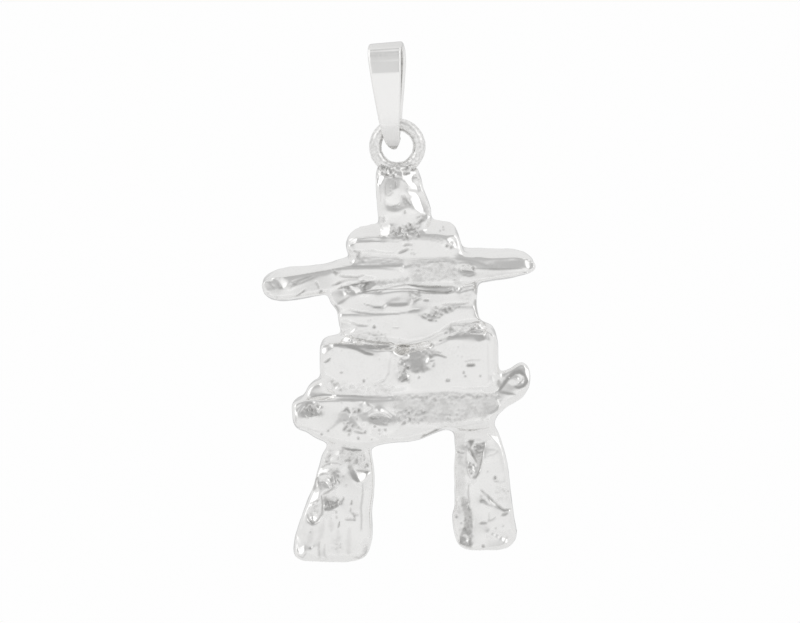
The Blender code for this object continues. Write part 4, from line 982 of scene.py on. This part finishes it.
# Solder round the foot of the ring, run and pitted, darkened with stain and painted shade.
crumple([-1.85, -1.5, -1.2, -1.6, 0, -1.4, 1.3, -1.4, 1.9, -1.8, 1.5, -2.4, 0.5, -2.8, -0.5, -2.8,
         -1.9, -2.5], 0.08, 0.9, 0.5, 0.25)
pits([-1.3, -1.95, -1, -2, -0.5, -2.2, 0.9, -1.7, 1.2, -1.5, 0.7, -2.45], 0.22, 0.1, 0.85)
gleam(oval(-0.82, -2.28, 0.08, 0.14))

# The leans become a rise by least squares. A worked flat holds its lean, and the skin round it and most of
# all its edges give way. What lies outside the casting has almost no hold.
hold = np.where(covered, hold, LOOSE_HOLD)
hold_x, hold_z = [(hold + np.roll(hold, -1, axis)) / 2.0 for axis in (1, 0)]
push_x = np.where(covered, lean_x - first_x, 0.0)
push_z = np.where(covered, lean_z - first_z, 0.0)
push_x, push_z = [(push + np.roll(push, -1, axis)) / 2.0 for push, axis in ((push_x, 1), (push_z, 0))]
wave_x, wave_z = np.meshgrid(*[2.0 * math.pi * np.fft.fftfreq(len(steps)) for steps in (columns, rows)])
stiffness = (SKIN_HOLD * (4.0 - 2.0 * np.cos(wave_x) - 2.0 * np.cos(wave_z)) / CELL ** 2
             + RELIEF_REACH ** -2.0)


def gather(slope_x, slope_z):
    """The fall-off at each cell of a field of slopes between cells."""
    return (np.roll(slope_x, 1, 1) - slope_x + np.roll(slope_z, 1, 0) - slope_z) / CELL


def pull(sheet):
    """What holds a rise in its place."""
    slope_x, slope_z = (np.roll(sheet, -1, 1) - sheet) / CELL, (np.roll(sheet, -1, 0) - sheet) / CELL
    return gather(hold_x * slope_x, hold_z * slope_z) + sheet * RELIEF_REACH ** -2.0


rise = np.zeros(across.shape)
left_over = gather(hold_x * push_x, hold_z * push_z)
step = 0.0
before = 1.0
for turn in range(SOLVER_STEPS):
    eased = np.real(np.fft.ifft2(np.fft.fft2(left_over) / stiffness))
    now = np.sum(left_over * eased)
    step = eased + step * (now / before if turn else 0.0)
    pulled = pull(step)
    share = now / np.sum(step * pulled)
    rise = rise + share * step
    left_over = left_over - share * pulled
    before = now
rise = rise + relief

place = np.array([vert.co for vert in casting.verts])
way = np.array([vert.normal for vert in casting.verts])


def felt(sheet):
    """A sheet's value at each point of the casting."""
    column = np.clip((place[:, 0] - WEST) / CELL, 0.0, len(columns) - 1.001)
    row = np.clip((place[:, 2] - BOTTOM) / CELL, 0.0, len(rows) - 1.001)
    left, low = column.astype(int), row.astype(int)
    u, v = column - left, row - low
    return ((sheet[low, left] * (1.0 - u) + sheet[low, left + 1] * u) * (1.0 - v)
            + (sheet[low + 1, left] * (1.0 - u) + sheet[low + 1, left + 1] * u) * v)


seen = smooth(0.1, 0.4, -way[:, 1])
roll = np.array([noise.noise(vert.co / 2.4) for vert in casting.verts])
bumps = np.array([noise.noise(vert.co / 0.9 + Vector((9.0, 0.0, 0.0))) for vert in casting.verts])
worn_all_over = 0.014 * roll * seen + (0.07 * roll + 0.03 * bumps) * (1.0 - seen)
place = place + way * worn_all_over[:, None]
place[:, 1] -= felt(rise) * smooth(-0.3, 0.1, -way[:, 1])
place[:, 1] = np.maximum(place[:, 1], cad_low.y / MM - ring_centre.y / MM - FRONT_ROOM)
point_stain_and_shade = felt(stain_and_shade) * seen + 0.15 * smooth(0.25, 0.6, -bumps - roll) * (1.0 - seen)
point_frost = felt(frost) * seen
for vert, spot in zip(casting.verts, place):
    vert.co = spot

cast, metal, shade = silver("cast silver")
where = shade.make("ShaderNodeTexCoord", output="Object")
# The point values darken the silver towards the tarnish colour: tarnish and painted shade in the hollows,
# painted shade on ledges and rims.
darkened = shade.make("ShaderNodeAttribute", {"attribute_name": "stain_and_shade"}, output="Fac")
matt = shade.make("ShaderNodeAttribute", {"attribute_name": "frost"}, output="Fac")
clouds = shade.make("ShaderNodeTexNoise", inputs={"Vector": where, "Scale": CLOUDS_PER_METRE, "Detail": 3.0})
grains = shade.make("ShaderNodeTexNoise", inputs={"Vector": where, "Scale": GRAINS_PER_METRE, "Detail": 2.0})
darkness = darkened * (0.6 + clouds * 0.6) + (clouds + grains).ramp(*CLOUDED) * 0.05
tone = shade.make("ShaderNodeMix", {"data_type": "RGBA"},
                  {"Factor": darkness, 6: SILVER, 7: TARNISH_AND_SHADE}, output=2)
feed(shade, tone, metal, "Base Color")
feed(shade, 0.06 + clouds * 0.06 + darkened * 0.15 + matt * 0.2, metal, "Roughness")
skin = shade.make("ShaderNodeBump", inputs={"Strength": 0.4, "Distance": 0.02 * MM,
                                            "Height": grains * (0.08 + matt * 0.7)})
feed(shade, skin, metal, "Normal")
figure = finished("cast-figure", casting, cast, "pendant", "figure")
for name, values in (("stain_and_shade", point_stain_and_shade), ("frost", point_frost)):
    layer = figure.data.attributes.new(name, "FLOAT", "POINT")
    layer.data.foreach_set("value", values.astype(np.float32))
